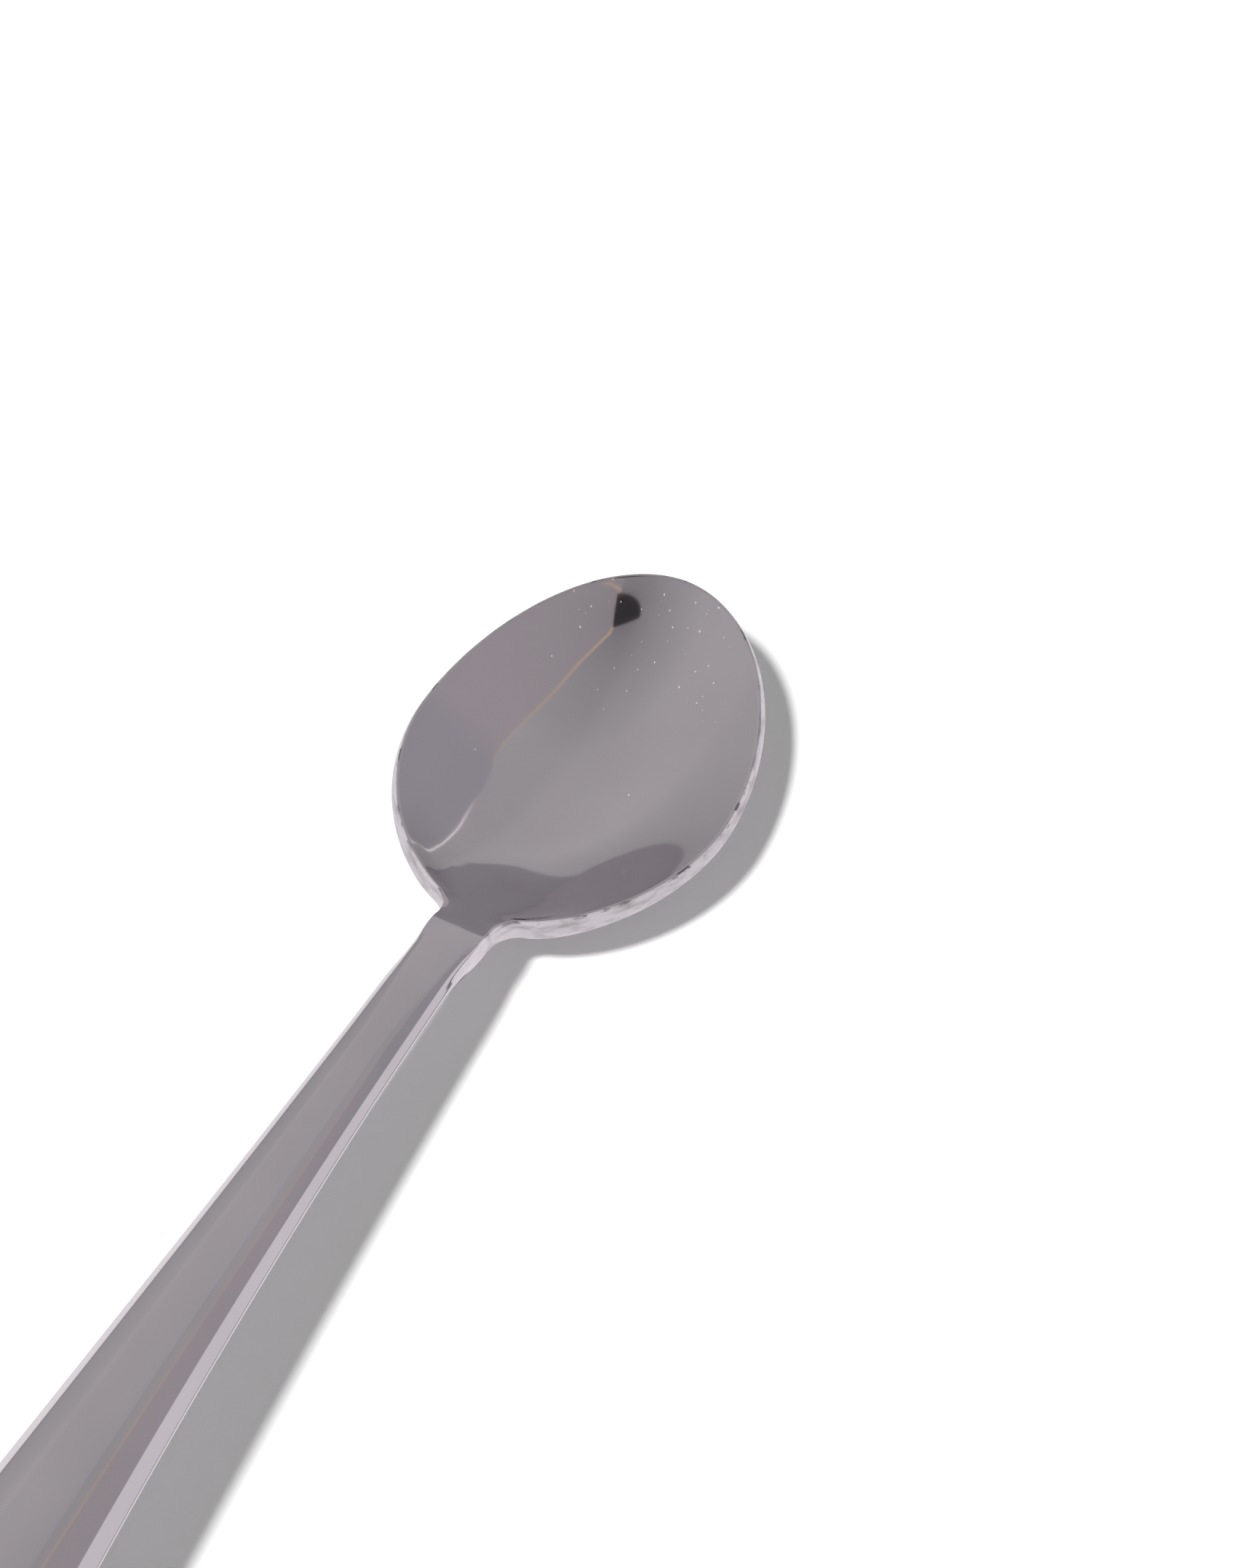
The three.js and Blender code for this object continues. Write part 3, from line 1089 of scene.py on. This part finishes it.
@dataclass(frozen=True)
class PolishedSteel:
    """Stainless steel, pressed and polished, then used for years. Lengths are in millimetres."""

    # A soft mirror with a faint purple-grey cast. Light clouds, hairlines and scrapes break it up, and the
    # ground edge round the bowl is satin, with small dark nicks under its upper corner.
    name: str = "polished stainless steel"
    colour: str = "#cbc4ca"
    clouded: str = "#c7c0c6"
    ground: str = "#cdc7cc"
    blotched: str = "#968f95"
    nicked: str = "#6f6a6e"
    scraped: str = "#cfcdcf"
    # How rough the steel is: clear and clouded, on the ground edge, and on a scrape.
    polish: Ramp = Ramp(0.0, 1.0, 0.045, 0.07)
    satin: float = 0.36
    frosted: float = 0.5
    bowl_from: Ramp = Ramp(24.0 * MM, 28.5 * MM)
    cloud: float = 11.0
    cloud_ramp: Ramp = Ramp(0.35, 0.65)
    wave: float = 4.0
    wave_height: float = 0.0016
    # A real hairline is about 0.01 mm wide. It is drawn 0.11 mm wide so that it shows.
    hairline: Triple = (0.11, 11.0, 2.0)
    hairline_turns: Pair = (0.35, -0.9)
    hairline_ramp: Ramp = Ramp(0.7, 0.78)
    hairline_patch: float = 6.0
    hairline_patch_ramp: Ramp = Ramp(0.45, 0.62)
    hairline_share: float = 0.07
    # A scrape sits in a cell of this size, has a ragged edge, and is likelier towards the bowl's tip.
    spot: Triple = (0.52, 0.9, 4.0)
    spot_turn: float = 0.5
    spot_grain: float = 0.3
    spot_edge: Ramp = Ramp(0.3, 0.7, -0.06, 0.13)
    spot_ramp: Ramp = Ramp(-0.05, 0.03)
    spot_chance: Ramp = Ramp(55.0 * MM, 68.0 * MM, 0.012, 0.85)
    # Nicks stand in a row: they come in a little under the upper corner and end 0.75 mm down.
    nick: Triple = (1.3, 0.55, 1.0)
    nick_ramp: Ramp = Ramp(0.53, 0.62)
    nick_patch: float = 7.0
    nick_patch_ramp: Ramp = Ramp(0.4, 0.52)
    nick_start: Ramp = Ramp(0.1, 0.25)
    nick_stop: Ramp = Ramp(0.75, 0.375)
    # Strokes of the grinding wheel and worn patches, by their length along the edge and their width.
    # A real stroke is about 0.03 mm wide. It is drawn 0.12 mm wide so that it shows.
    grind: Triple = (3.0, 0.12, 1.0)
    blotch: Triple = (2.4, 0.7, 1.0)
    blotch_ramp: Ramp = Ramp(0.46, 0.7, 0.0, 0.75)

    def grain(
        self, tree: Any, place: Any, size: tuple[float, ...], detail: float = 2.0, turn: float = 0.0
    ) -> Any:
        """Noise that is stretched to a size.

        Args:
            tree: the material's node tree.
            place: the socket with the place.
            size: the size of a grain each way, in the unit of the place.
            detail: how many finer layers the noise has.
            turn: how far the grain is turned in plan, in radians.

        Returns:
            The socket with the noise.
        """
        stretch = {"Vector": place, "Rotation": (0.0, 0.0, turn), "Scale": size}
        spread = add_node(tree, STRETCH, BY_SIZE, stretch)
        return add_node(tree, NOISE, {}, {"Vector": spread, "Scale": 1.0, "Detail": detail})

    def hairlines(self, on: Surface) -> Any:
        """Faint long scratches in two directions, in patches.

        Args:
            on: the sockets of the surface.

        Returns:
            The socket that is 1 on a scratch.
        """
        size = tuple(length * MM for length in self.hairline)
        found: Any = 0.0
        for turn in self.hairline_turns:
            lines = self.grain(on.tree, on.place, size, 0.0, turn)
            here = add_node(on.tree, SPAN, SOFT, self.hairline_ramp.of(lines))
            found = add_node(on.tree, MATH, LARGER, {0: found, 1: here})
        patch = {"Vector": on.place, "Scale": 1 / (self.hairline_patch * MM), "Detail": 1.0}
        patch = add_node(on.tree, NOISE, {}, patch)
        kept = add_node(on.tree, SPAN, {}, self.hairline_patch_ramp.of(patch))
        return add_node(on.tree, MATH, TIMES, {0: found, 1: kept})

    def spots(self, on: Surface) -> Any:
        """Small bright scrapes, which are thickest at the tip of the bowl.

        Args:
            on: the sockets of the surface.

        Returns:
            The socket that is 1 on a scrape.
        """
        size = tuple(length * MM for length in self.spot)
        spread = {"Vector": on.place, "Rotation": (0.0, 0.0, self.spot_turn), "Scale": size}
        spread = add_node(on.tree, STRETCH, BY_SIZE, spread)
        cells = add_node(on.tree, "ShaderNodeTexVoronoi", {}, {"Vector": spread, "Scale": 1.0}).node.outputs
        rough = {"Vector": on.place, "Scale": 1 / (self.spot_grain * MM), "Detail": 0.0}
        rough = add_node(on.tree, NOISE, {}, rough)
        edge = add_node(on.tree, SPAN, {}, self.spot_edge.of(rough))
        near = add_node(on.tree, MATH, MINUS, {0: edge, 1: cells["Distance"]})
        spot = add_node(on.tree, SPAN, {}, self.spot_ramp.of(near))
        chance = add_node(on.tree, SPAN, {}, self.spot_chance.of(on.y))
        drawn = add_node(on.tree, SPLIT, {}, {0: cells["Color"]}, out="X")
        worn = add_node(on.tree, MATH, {"operation": "LESS_THAN"}, {0: drawn, 1: chance})
        return add_node(on.tree, MATH, TIMES, {0: spot, 1: worn})

    def nicks(self, on: Surface) -> Any:
        """Small dark nicks in a row under the upper corner of the edge, in patches.

        Args:
            on: the sockets of the surface.

        Returns:
            The socket that is 1 in a nick.
        """
        grain = self.grain(on.tree, on.where, self.nick)
        found = add_node(on.tree, SPAN, {}, self.nick_ramp.of(grain))
        row = add_node(on.tree, JOIN, {}, {0: on.along})
        gather = {"Vector": row, "Scale": 1 / self.nick_patch, "Detail": 1.0}
        gather = add_node(on.tree, NOISE, {}, gather)
        for gate in (
            self.nick_patch_ramp.of(gather),
            self.nick_start.of(on.down),
            self.nick_stop.of(on.down),
        ):
            kept = add_node(on.tree, SPAN, {}, gate)
            found = add_node(on.tree, MATH, TIMES, {0: found, 1: kept})
        return found

    def material(self) -> Any:
        """The finish as a material.

        Returns:
            The material.
        """
        made = bpy.data.materials.new(self.name)
        tree = fresh_tree(made)
        on = Surface.of(tree)
        # The ground edge, the scrapes and the nicks are on the bowl alone.
        on_bowl = add_node(tree, SPAN, {}, self.bowl_from.of(on.y))
        edge, scrape, nick = (
            add_node(tree, MATH, TIMES, {0: share, 1: on_bowl})
            for share in (on.edge, self.spots(on), self.nicks(on))
        )
        clouds = {"Vector": on.place, "Scale": 1 / (self.cloud * MM), "Detail": 3.0}
        clouds = add_node(tree, NOISE, {}, clouds)
        cloudy = add_node(tree, SPAN, {}, self.cloud_ramp.of(clouds))
        faint = add_node(tree, MATH, TIMES, {0: self.hairlines(on), 1: self.hairline_share})
        bright = add_node(tree, MATH, LARGER, {0: faint, 1: scrape})
        strokes = self.grain(tree, on.where, self.grind)
        blotch = self.blotch_ramp.of(self.grain(tree, on.where, self.blotch))
        blotch = add_node(tree, SPAN, {}, blotch)
        ground: Any = linear(self.clouded)
        for share, over in ((strokes, self.ground), (blotch, self.blotched)):
            layer = {"Factor": share, "A": ground, "B": linear(over)}
            ground = add_node(tree, MIXED, PAINT, layer, out="Result")
        colour: Any = linear(self.colour)
        for share, over in (
            (cloudy, linear(self.clouded)),
            (edge, ground),
            (nick, linear(self.nicked)),
            (bright, linear(self.scraped)),
        ):
            layer = {"Factor": share, "A": colour, "B": over}
            colour = add_node(tree, MIXED, PAINT, layer, out="Result")
        rough = add_node(tree, SPAN, {}, self.polish.of(cloudy))
        for share, over in ((edge, self.satin), (bright, self.frosted)):
            layer = {"Factor": share, "A": rough, "B": over}
            rough = add_node(tree, MIXED, LEVEL, layer, out="Result")
        # A scrape scatters the light like frost, so it is white under a lamp and mirrors nothing.
        shine = add_node(tree, MATH, MINUS, {0: 1.0, 1: scrape})
        waves = {"Vector": on.place, "Scale": 1 / (self.wave * MM), "Detail": 1.0}
        waves = add_node(tree, NOISE, {}, waves)
        bump = {"Height": waves, "Strength": 1.0, "Distance": self.wave_height * MM}
        bump = add_node(tree, "ShaderNodeBump", {}, bump)
        coat = {"Base Color": colour, "Metallic": shine, "Roughness": rough, "Normal": bump}
        shader = add_node(tree, "ShaderNodeBsdfPrincipled", {}, coat, out="BSDF")
        add_node(tree, "ShaderNodeOutputMaterial", {}, {"Surface": shader})
        return made


@dataclass(frozen=True)
class Way:
    """The sockets of a direction: x and y over its z, z itself, and the degrees round from the far side."""

    tree: Any
    x: Any
    y: Any
    z: Any
    turn: Any

    @staticmethod
    def of(tree: Any, lowest: float) -> "Way":
        """Takes the direction apart.

        Args:
            tree: the world's node tree.
            lowest: the least z that x and y are divided by.

        Returns:
            The sockets.
        """
        towards = add_node(tree, "ShaderNodeTexCoord", out="Generated")
        split = add_node(tree, SPLIT, {}, {0: towards}).node.outputs
        up = add_node(tree, MATH, LARGER, {0: split["Z"], 1: lowest})
        x, y = (add_node(tree, MATH, OVER, {0: split[axis], 1: up}) for axis in ("X", "Y"))
        round_by = add_node(tree, MATH, {"operation": "ARCTAN2"}, {0: split["X"], 1: split["Y"]})
        turn = add_node(tree, MATH, {"operation": "DEGREES"}, {0: round_by})
        return Way(tree, x, y, split["Z"], turn)


@dataclass(frozen=True)
class Room:
    """The pale tent over the table as the steel mirrors it. Places on its roof are x and y over z."""

    white: float = 1.0
    ambient: float = 0.24
    lowest: float = 0.02
    # The roof is a little paler to the left, dimmer near the table and dimmer right of its middle.
    roof_across: Ramp = Ramp(-1.3, 0.0, 0.57, 0.535)
    roof_low: Ramp = Ramp(0.0, 0.42, 0.68, 1.0)
    roof_right: Ramp = Ramp(-0.16, 0.1, 1.0, 0.93)
    # The opening for the camera: a rounded patch with two straight sides that meet in a corner.
    opening: Pair = (0.19, -0.44)
    opening_half: Pair = (0.195, 0.13)
    opening_power: float = 2.2
    opening_corner: Pair = (0.206, -0.325)
    opening_slants: Pair = (0.65, -0.486)
    opening_round: Ramp = Ramp(1.05, 0.95)
    opening_side: Ramp = Ramp(0.006, -0.006)
    opening_colour: Colour = (0.05, 0.05, 0.05, 1.0)
    # Round the opening the roof is dimmer, and the side wall less so.
    halo: Ramp = Ramp(0.06, 0.95)
    halo_power: float = 0.5
    halo_left: Ramp = Ramp(0.0, 1.0, 0.47, 1.0)
    halo_on_side: Ramp = Ramp(0.0, 1.0, 0.6, 1.0)
    # The seam between the roof and the side wall: x for each y.
    seam: tuple[Pair, ...] = (
        (-0.6, 0.31), (-0.504, 0.291), (-0.325, 0.206), (-0.234, 0.239), (-0.102, 0.304), (0.086, 0.382),
        (0.255, 0.422), (0.449, 0.452), (0.646, 0.471), (0.876, 0.435), (1.159, 0.413), (1.468, 0.405),
        (1.741, 0.386), (2.04, 0.357), (2.362, 0.363), (2.606, 0.377), (2.91, 0.419), (3.272, 0.466),
        (3.821, 0.536), (4.303, 0.615), (4.44, 0.66), (4.54, 0.78), (4.9, 1.2), (8.675, 1.9),
    )
    seam_top: float = 2.0
    seam_line: Ramp = Ramp(0.0165, 0.0044)
    seam_fades: tuple[Ramp, ...] = (Ramp(-0.2, 0.75, 0.95, 0.2), Ramp(0.85, 0.65), Ramp(-0.58, -0.54))
    seam_colour: str = "#dcc3a8"
    # A second seam curls away from the far corner of the opening: y at its turn, the x of it, and its bend.
    curl: Triple = (-0.585, 0.39, 1.25)
    curl_fades: tuple[Ramp, ...] = (Ramp(0.28, 0.3), Ramp(0.62, 0.38))
    # The bright streak down the far wall: its half width, and how much that grows with y.
    streak: Pair = (0.004, 0.0035)
    streak_line: Ramp = Ramp(1.3, 0.5)
    streak_fades: tuple[Ramp, ...] = (Ramp(1.2, 2.0), Ramp(9.0, 3.3, 0.2))
    streak_colour: Colour = (1.25, 1.22, 1.2, 1.0)
    # The side wall beyond the seam is darker, brownish above and bluish below.
    side_edge: Ramp = Ramp(-0.01, 0.01)
    side_change: Ramp = Ramp(0.6, 0.8)
    side_upper: Colour = (0.877, 0.843, 0.859, 1.0)
    side_lower: Colour = (0.80, 0.79, 0.833, 1.0)
    # The far wall is darker near the table, up to a height that falls to both sides of its middle.
    far_height: float = 0.34
    far_middle: float = -9.0
    far_curve: float = 0.00024
    far_stop: float = -1.6
    far_slope: float = 0.05
    far_edge: Ramp = Ramp(-0.01, 0.01)
    far_shade: Colour = (0.665, 0.645, 0.68, 1.0)
    # Low on the right the tent is lit through, down to a hem above the table.
    lit_colour: Colour = (0.9, 0.9, 0.9, 1.0)
    lit_from: Ramp = Ramp(0.85, 1.1)
    lit_hem: Ramp = Ramp(0.1, 0.2)

    def beside_seam(self, way: Way) -> Any:
        """How far a place lies beyond the seam.

        Args:
            way: the direction's sockets.

        Returns:
            The socket with x beyond the seam.
        """
        first, last = self.seam[0][0], self.seam[-1][0]
        place = add_node(way.tree, SPAN, {}, Ramp(first, last).of(way.y))
        curve = add_node(way.tree, "ShaderNodeFloatCurve", {}, {"Value": place})
        shape = curve.node
        shape.mapping.clip_max_y = self.seam_top
        points = shape.mapping.curves[0].points
        for number, (along, across) in enumerate(self.seam):
            spot = ((along - first) / (last - first), across)
            if 0 < number < len(self.seam) - 1:
                points.new(*spot)
            else:
                points[0 if number == 0 else -1].location = spot
        shape.mapping.update()
        return add_node(way.tree, MATH, MINUS, {0: way.x, 1: curve})

    def opening_share(self, way: Way) -> Any:
        """Where the dark opening is.

        Args:
            way: the direction's sockets.

        Returns:
            The socket that is 1 in the opening.
        """
        tree, parts = way.tree, []
        for socket, middle, half in zip((way.x, way.y), self.opening, self.opening_half):
            off = add_node(tree, MATH, MINUS, {0: socket, 1: middle})
            off = add_node(tree, MATH, SIZE, {0: off})
            off = add_node(tree, MATH, OVER, {0: off, 1: half})
            parts.append(add_node(tree, MATH, POWER, {0: off, 1: self.opening_power}))
        reach = add_node(tree, MATH, PLUS, {0: parts[0], 1: parts[1]})
        share = add_node(tree, SPAN, SOFT, self.opening_round.of(reach))
        (corner_x, corner_y), (rise, run) = self.opening_corner, self.opening_slants
        sides = ((way.y, way.x, corner_y, corner_x, rise), (way.x, way.y, corner_x, corner_y, run))
        for across, along, start, origin, slant in sides:
            line = {0: along, 1: slant, 2: start - slant * origin}
            line = add_node(tree, MATH, TIMES_PLUS, line)
            over = add_node(tree, MATH, MINUS, {0: across, 1: line})
            under = add_node(tree, SPAN, SOFT, self.opening_side.of(over))
            share = add_node(tree, MATH, TIMES, {0: share, 1: under})
        return share

    def near_opening(self, way: Way) -> Any:
        """How the roof gets dimmer towards the opening.

        Args:
            way: the direction's sockets.

        Returns:
            The socket with the share of light that is left.
        """
        here = add_node(way.tree, JOIN, {}, {0: way.x, 1: way.y})
        apart = {0: here, 1: (*self.opening, 0.0)}
        apart = add_node(way.tree, "ShaderNodeVectorMath", {"operation": "DISTANCE"}, apart, out="Value")
        gone = add_node(way.tree, SPAN, {}, self.halo.of(apart))
        gone = add_node(way.tree, MATH, POWER, {0: gone, 1: self.halo_power})
        return add_node(way.tree, SPAN, {}, self.halo_left.of(gone))

    def far_share(self, way: Way) -> Any:
        """How the far wall gets darker near the table.

        Args:
            way: the direction's sockets.

        Returns:
            The socket with the share of each colour that is left.
        """
        tree = way.tree
        off = add_node(tree, MATH, MINUS, {0: way.turn, 1: self.far_middle})
        square = add_node(tree, MATH, TIMES, {0: off, 1: off})
        top = add_node(tree, MATH, TIMES_PLUS, {0: square, 1: -self.far_curve, 2: self.far_height})
        past = add_node(tree, MATH, MINUS, {0: way.turn, 1: self.far_stop})
        past = add_node(tree, MATH, LARGER, {0: past, 1: 0.0})
        top = add_node(tree, MATH, TIMES_PLUS, {0: past, 1: -self.far_slope, 2: top})
        above = add_node(tree, MATH, MINUS, {0: way.z, 1: top})
        above = add_node(tree, SPAN, SOFT, self.far_edge.of(above))
        shade = {"Factor": above, "A": self.far_shade, "B": WHITE}
        return add_node(tree, MIXED, PAINT, shade, out="Result")

    def lines(self, way: Way, off: Any) -> tuple[Any, Any]:
        """The seams, thin over the roof and side wall, and the bright streak down the far wall.

        Args:
            way: the direction's sockets.
            off: the socket with x beyond the seam.

        Returns:
            The sockets that are 1 on a thin seam and on the streak.
        """
        tree = way.tree
        gap = add_node(tree, MATH, SIZE, {0: off})
        thin = add_node(tree, SPAN, SOFT, self.seam_line.of(gap))
        turn_y, turn_x, bend = self.curl
        along = add_node(tree, MATH, MINUS, {0: way.x, 1: turn_x})
        square = add_node(tree, MATH, TIMES, {0: along, 1: along})
        curl = add_node(tree, MATH, TIMES_PLUS, {0: square, 1: bend, 2: turn_y})
        curl = add_node(tree, MATH, MINUS, {0: way.y, 1: curl})
        curl = add_node(tree, MATH, SIZE, {0: curl})
        curl = add_node(tree, SPAN, SOFT, self.seam_line.of(curl))
        start, more = self.streak
        width = add_node(tree, MATH, TIMES_PLUS, {0: way.y, 1: more, 2: start})
        streak = add_node(tree, MATH, OVER, {0: gap, 1: width})
        streak = add_node(tree, SPAN, SOFT, self.streak_line.of(streak))
        shown = []
        for line, fades, place, style in (
            (thin, self.seam_fades, way.y, {}),
            (curl, self.curl_fades, way.x, {}),
            (streak, self.streak_fades, way.y, SOFT),
        ):
            for fade in fades:
                kept = add_node(tree, SPAN, style, fade.of(place))
                line = add_node(tree, MATH, TIMES, {0: line, 1: kept})
            shown.append(line)
        thin, curl, streak = shown
        return add_node(tree, MATH, LARGER, {0: thin, 1: curl}), streak

    def mirrored(self, tree: Any) -> Any:
        """Builds the colours of the tent.

        Args:
            tree: the world's node tree.

        Returns:
            The socket with the colour in each direction.
        """
        way = Way.of(tree, self.lowest)
        level = add_node(tree, SPAN, SOFT, self.roof_across.of(way.x))
        low = add_node(tree, SPAN, {}, self.roof_low.of(way.z))
        level = add_node(tree, MATH, TIMES, {0: level, 1: low})
        halo = self.near_opening(way)
        shade = add_node(tree, SPAN, SOFT, self.roof_right.of(way.x))
        roof = add_node(tree, MATH, TIMES, {0: level, 1: halo})
        roof = add_node(tree, MATH, TIMES, {0: roof, 1: shade})
        off = self.beside_seam(way)
        side = add_node(tree, SPAN, SOFT, self.side_edge.of(off))
        lower = add_node(tree, SPAN, SOFT, self.side_change.of(way.y))
        wall = {"Factor": lower, "A": self.side_upper, "B": self.side_lower}
        wall = add_node(tree, MIXED, PAINT, wall, out="Result")
        colour = add_node(tree, MIXED, PAINT, {"Factor": side, "A": WHITE, "B": wall}, out="Result")
        half_halo = add_node(tree, SPAN, {}, self.halo_on_side.of(halo))
        beside = add_node(tree, MATH, TIMES, {0: level, 1: half_halo})
        shown = add_node(tree, MIXED, LEVEL, {"Factor": side, "A": roof, "B": beside}, out="Result")
        for share in (shown, self.far_share(way)):
            both = {"Factor": 1.0, "A": colour, "B": share}
            colour = add_node(tree, MIXED, {**PAINT, "blend_type": "MULTIPLY"}, both, out="Result")
        right = add_node(tree, SPAN, SOFT, self.lit_from.of(way.x))
        hem = add_node(tree, SPAN, SOFT, self.lit_hem.of(way.z))
        right = add_node(tree, MATH, TIMES, {0: right, 1: hem})
        thin, streak = self.lines(way, off)
        for share, paint in (
            (right, self.lit_colour),
            (thin, linear(self.seam_colour)),
            (streak, self.streak_colour),
            (self.opening_share(way), self.opening_colour),
        ):
            over = {"Factor": share, "A": colour, "B": paint}
            colour = add_node(tree, MIXED, PAINT, over, out="Result")
        return colour

    def build(self) -> None:
        """Makes the world: white to the camera, the tent to the steel, and an even light to the table."""
        world = bpy.data.worlds.new("tent")
        bpy.context.scene.world = world
        tree = fresh_tree(world)
        path = add_node(tree, "ShaderNodeLightPath").node.outputs
        seen, even, tent = (
            add_node(tree, "ShaderNodeBackground", {}, {"Color": colour, "Strength": strength})
            for colour, strength in ((WHITE, self.white), (WHITE, self.ambient), (self.mirrored(tree), 1.0))
        )
        whole = even
        for ray, shown in (("Is Camera Ray", seen), ("Is Glossy Ray", tent)):
            whole = add_node(tree, "ShaderNodeMixShader", {}, {0: path[ray], 1: whole, 2: shown})
        add_node(tree, "ShaderNodeOutputWorld", {}, {"Surface": whole})


@dataclass(frozen=True)
class Studio:
    """A white table under a soft lamp, the room that the steel mirrors, and the camera."""

    azimuth: float = 27.1109
    elevation: float = 51.5001
    distance: float = 229.697
    target: Triple = (2.7301, 52.4505, 0.0)
    focal_pixels: float = 3500.0
    picture_height: float = 2156.0
    sensor: float = 36.0
    # The values above are in degrees, millimetres and pixels. Lengths below are in metres.
    clip: Pair = (0.01, 20.0)
    light_towards: Triple = (-0.235, -0.48, 1.0)
    light_aim: Triple = (0.0, 0.03, 0.0)
    light_distance: float = 4.0
    light_size: float = 0.5
    light_power: float = 151.0
    table_reach: float = 2.0
    paper: str = "#f4f4f4"
    paper_lift: float = 0.1
    room: Room = field(default_factory=Room)

    def camera(self) -> None:
        """Puts the camera where the photograph was taken from."""
        a, e = math.radians(self.azimuth), math.radians(self.elevation)
        back = Vector((math.sin(a) * math.cos(e), -math.cos(a) * math.cos(e), math.sin(e)))
        lens = bpy.data.cameras.new("camera")
        lens.sensor_width = self.sensor
        lens.lens = self.focal_pixels * self.sensor / self.picture_height
        lens.clip_start, lens.clip_end = self.clip
        camera = add_object("camera", lens)
        camera.location = (Vector(self.target) + back * self.distance) * MM
        camera.rotation_euler = back.to_track_quat("Z", "Y").to_euler()
        bpy.context.scene.camera = camera

    def lamp(self) -> None:
        """Hangs the soft lamp that throws the shadow."""
        light = bpy.data.lights.new("soft lamp", "AREA")
        light.shape = "DISK"
        light.size = self.light_size
        light.energy = self.light_power
        lamp = add_object("soft lamp", light)
        way = Vector(self.light_towards).normalized()
        lamp.location = Vector(self.light_aim) + way * self.light_distance
        lamp.rotation_euler = way.to_track_quat("Z", "Y").to_euler()
        lamp.visible_glossy = False

    def table(self) -> None:
        """Lays the white table."""
        mesh = bpy.data.meshes.new("table")
        reach = self.table_reach
        corners = [(-reach, -reach, 0), (reach, -reach, 0), (reach, reach, 0), (-reach, reach, 0)]
        mesh.from_pydata(corners, [], [(0, 1, 2, 3)])
        table = add_object("table", mesh)
        made = bpy.data.materials.new("white paper")
        tree = fresh_tree(made)
        paper = add_node(tree, "ShaderNodeBsdfDiffuse", {}, {"Color": linear(self.paper)})
        # The paper is white to the eye, and to the steel that mirrors it, while its shadow stays.
        path = add_node(tree, "ShaderNodeLightPath").node.outputs
        seen = path["Is Camera Ray"]
        for ray in ("Is Glossy Ray", "Is Transmission Ray"):
            seen = add_node(tree, MATH, LARGER, {0: seen, 1: path[ray]})
        lift = add_node(tree, MATH, TIMES, {0: seen, 1: self.paper_lift})
        glow = add_node(tree, "ShaderNodeEmission", {}, {"Color": WHITE, "Strength": lift})
        both = add_node(tree, "ShaderNodeAddShader", {}, {0: paper, 1: glow})
        add_node(tree, "ShaderNodeOutputMaterial", {}, {"Surface": both})
        mesh.materials.append(made)

    def build(self) -> None:
        """Sets the whole studio up."""
        self.camera()
        self.lamp()
        self.table()
        self.room.build()
        bpy.context.scene.view_settings.view_transform = "Standard"


def main() -> None:
    """Builds the spoon and the studio, and reports each piece."""
    logging.basicConfig(level=logging.INFO, format="%(name)s: %(message)s")
    Studio().build()
    form = Form()
    skin = form.skin()
    steel = PolishedSteel().material()
    for piece, zone in form.bowl.build(skin):
        form.bowl.dress(piece, zone, steel)
    for piece, zone in form.handle.build(skin, form.bowl, steel):
        form.handle.dress(piece, zone, steel)


if __name__ == "__main__":
    main()
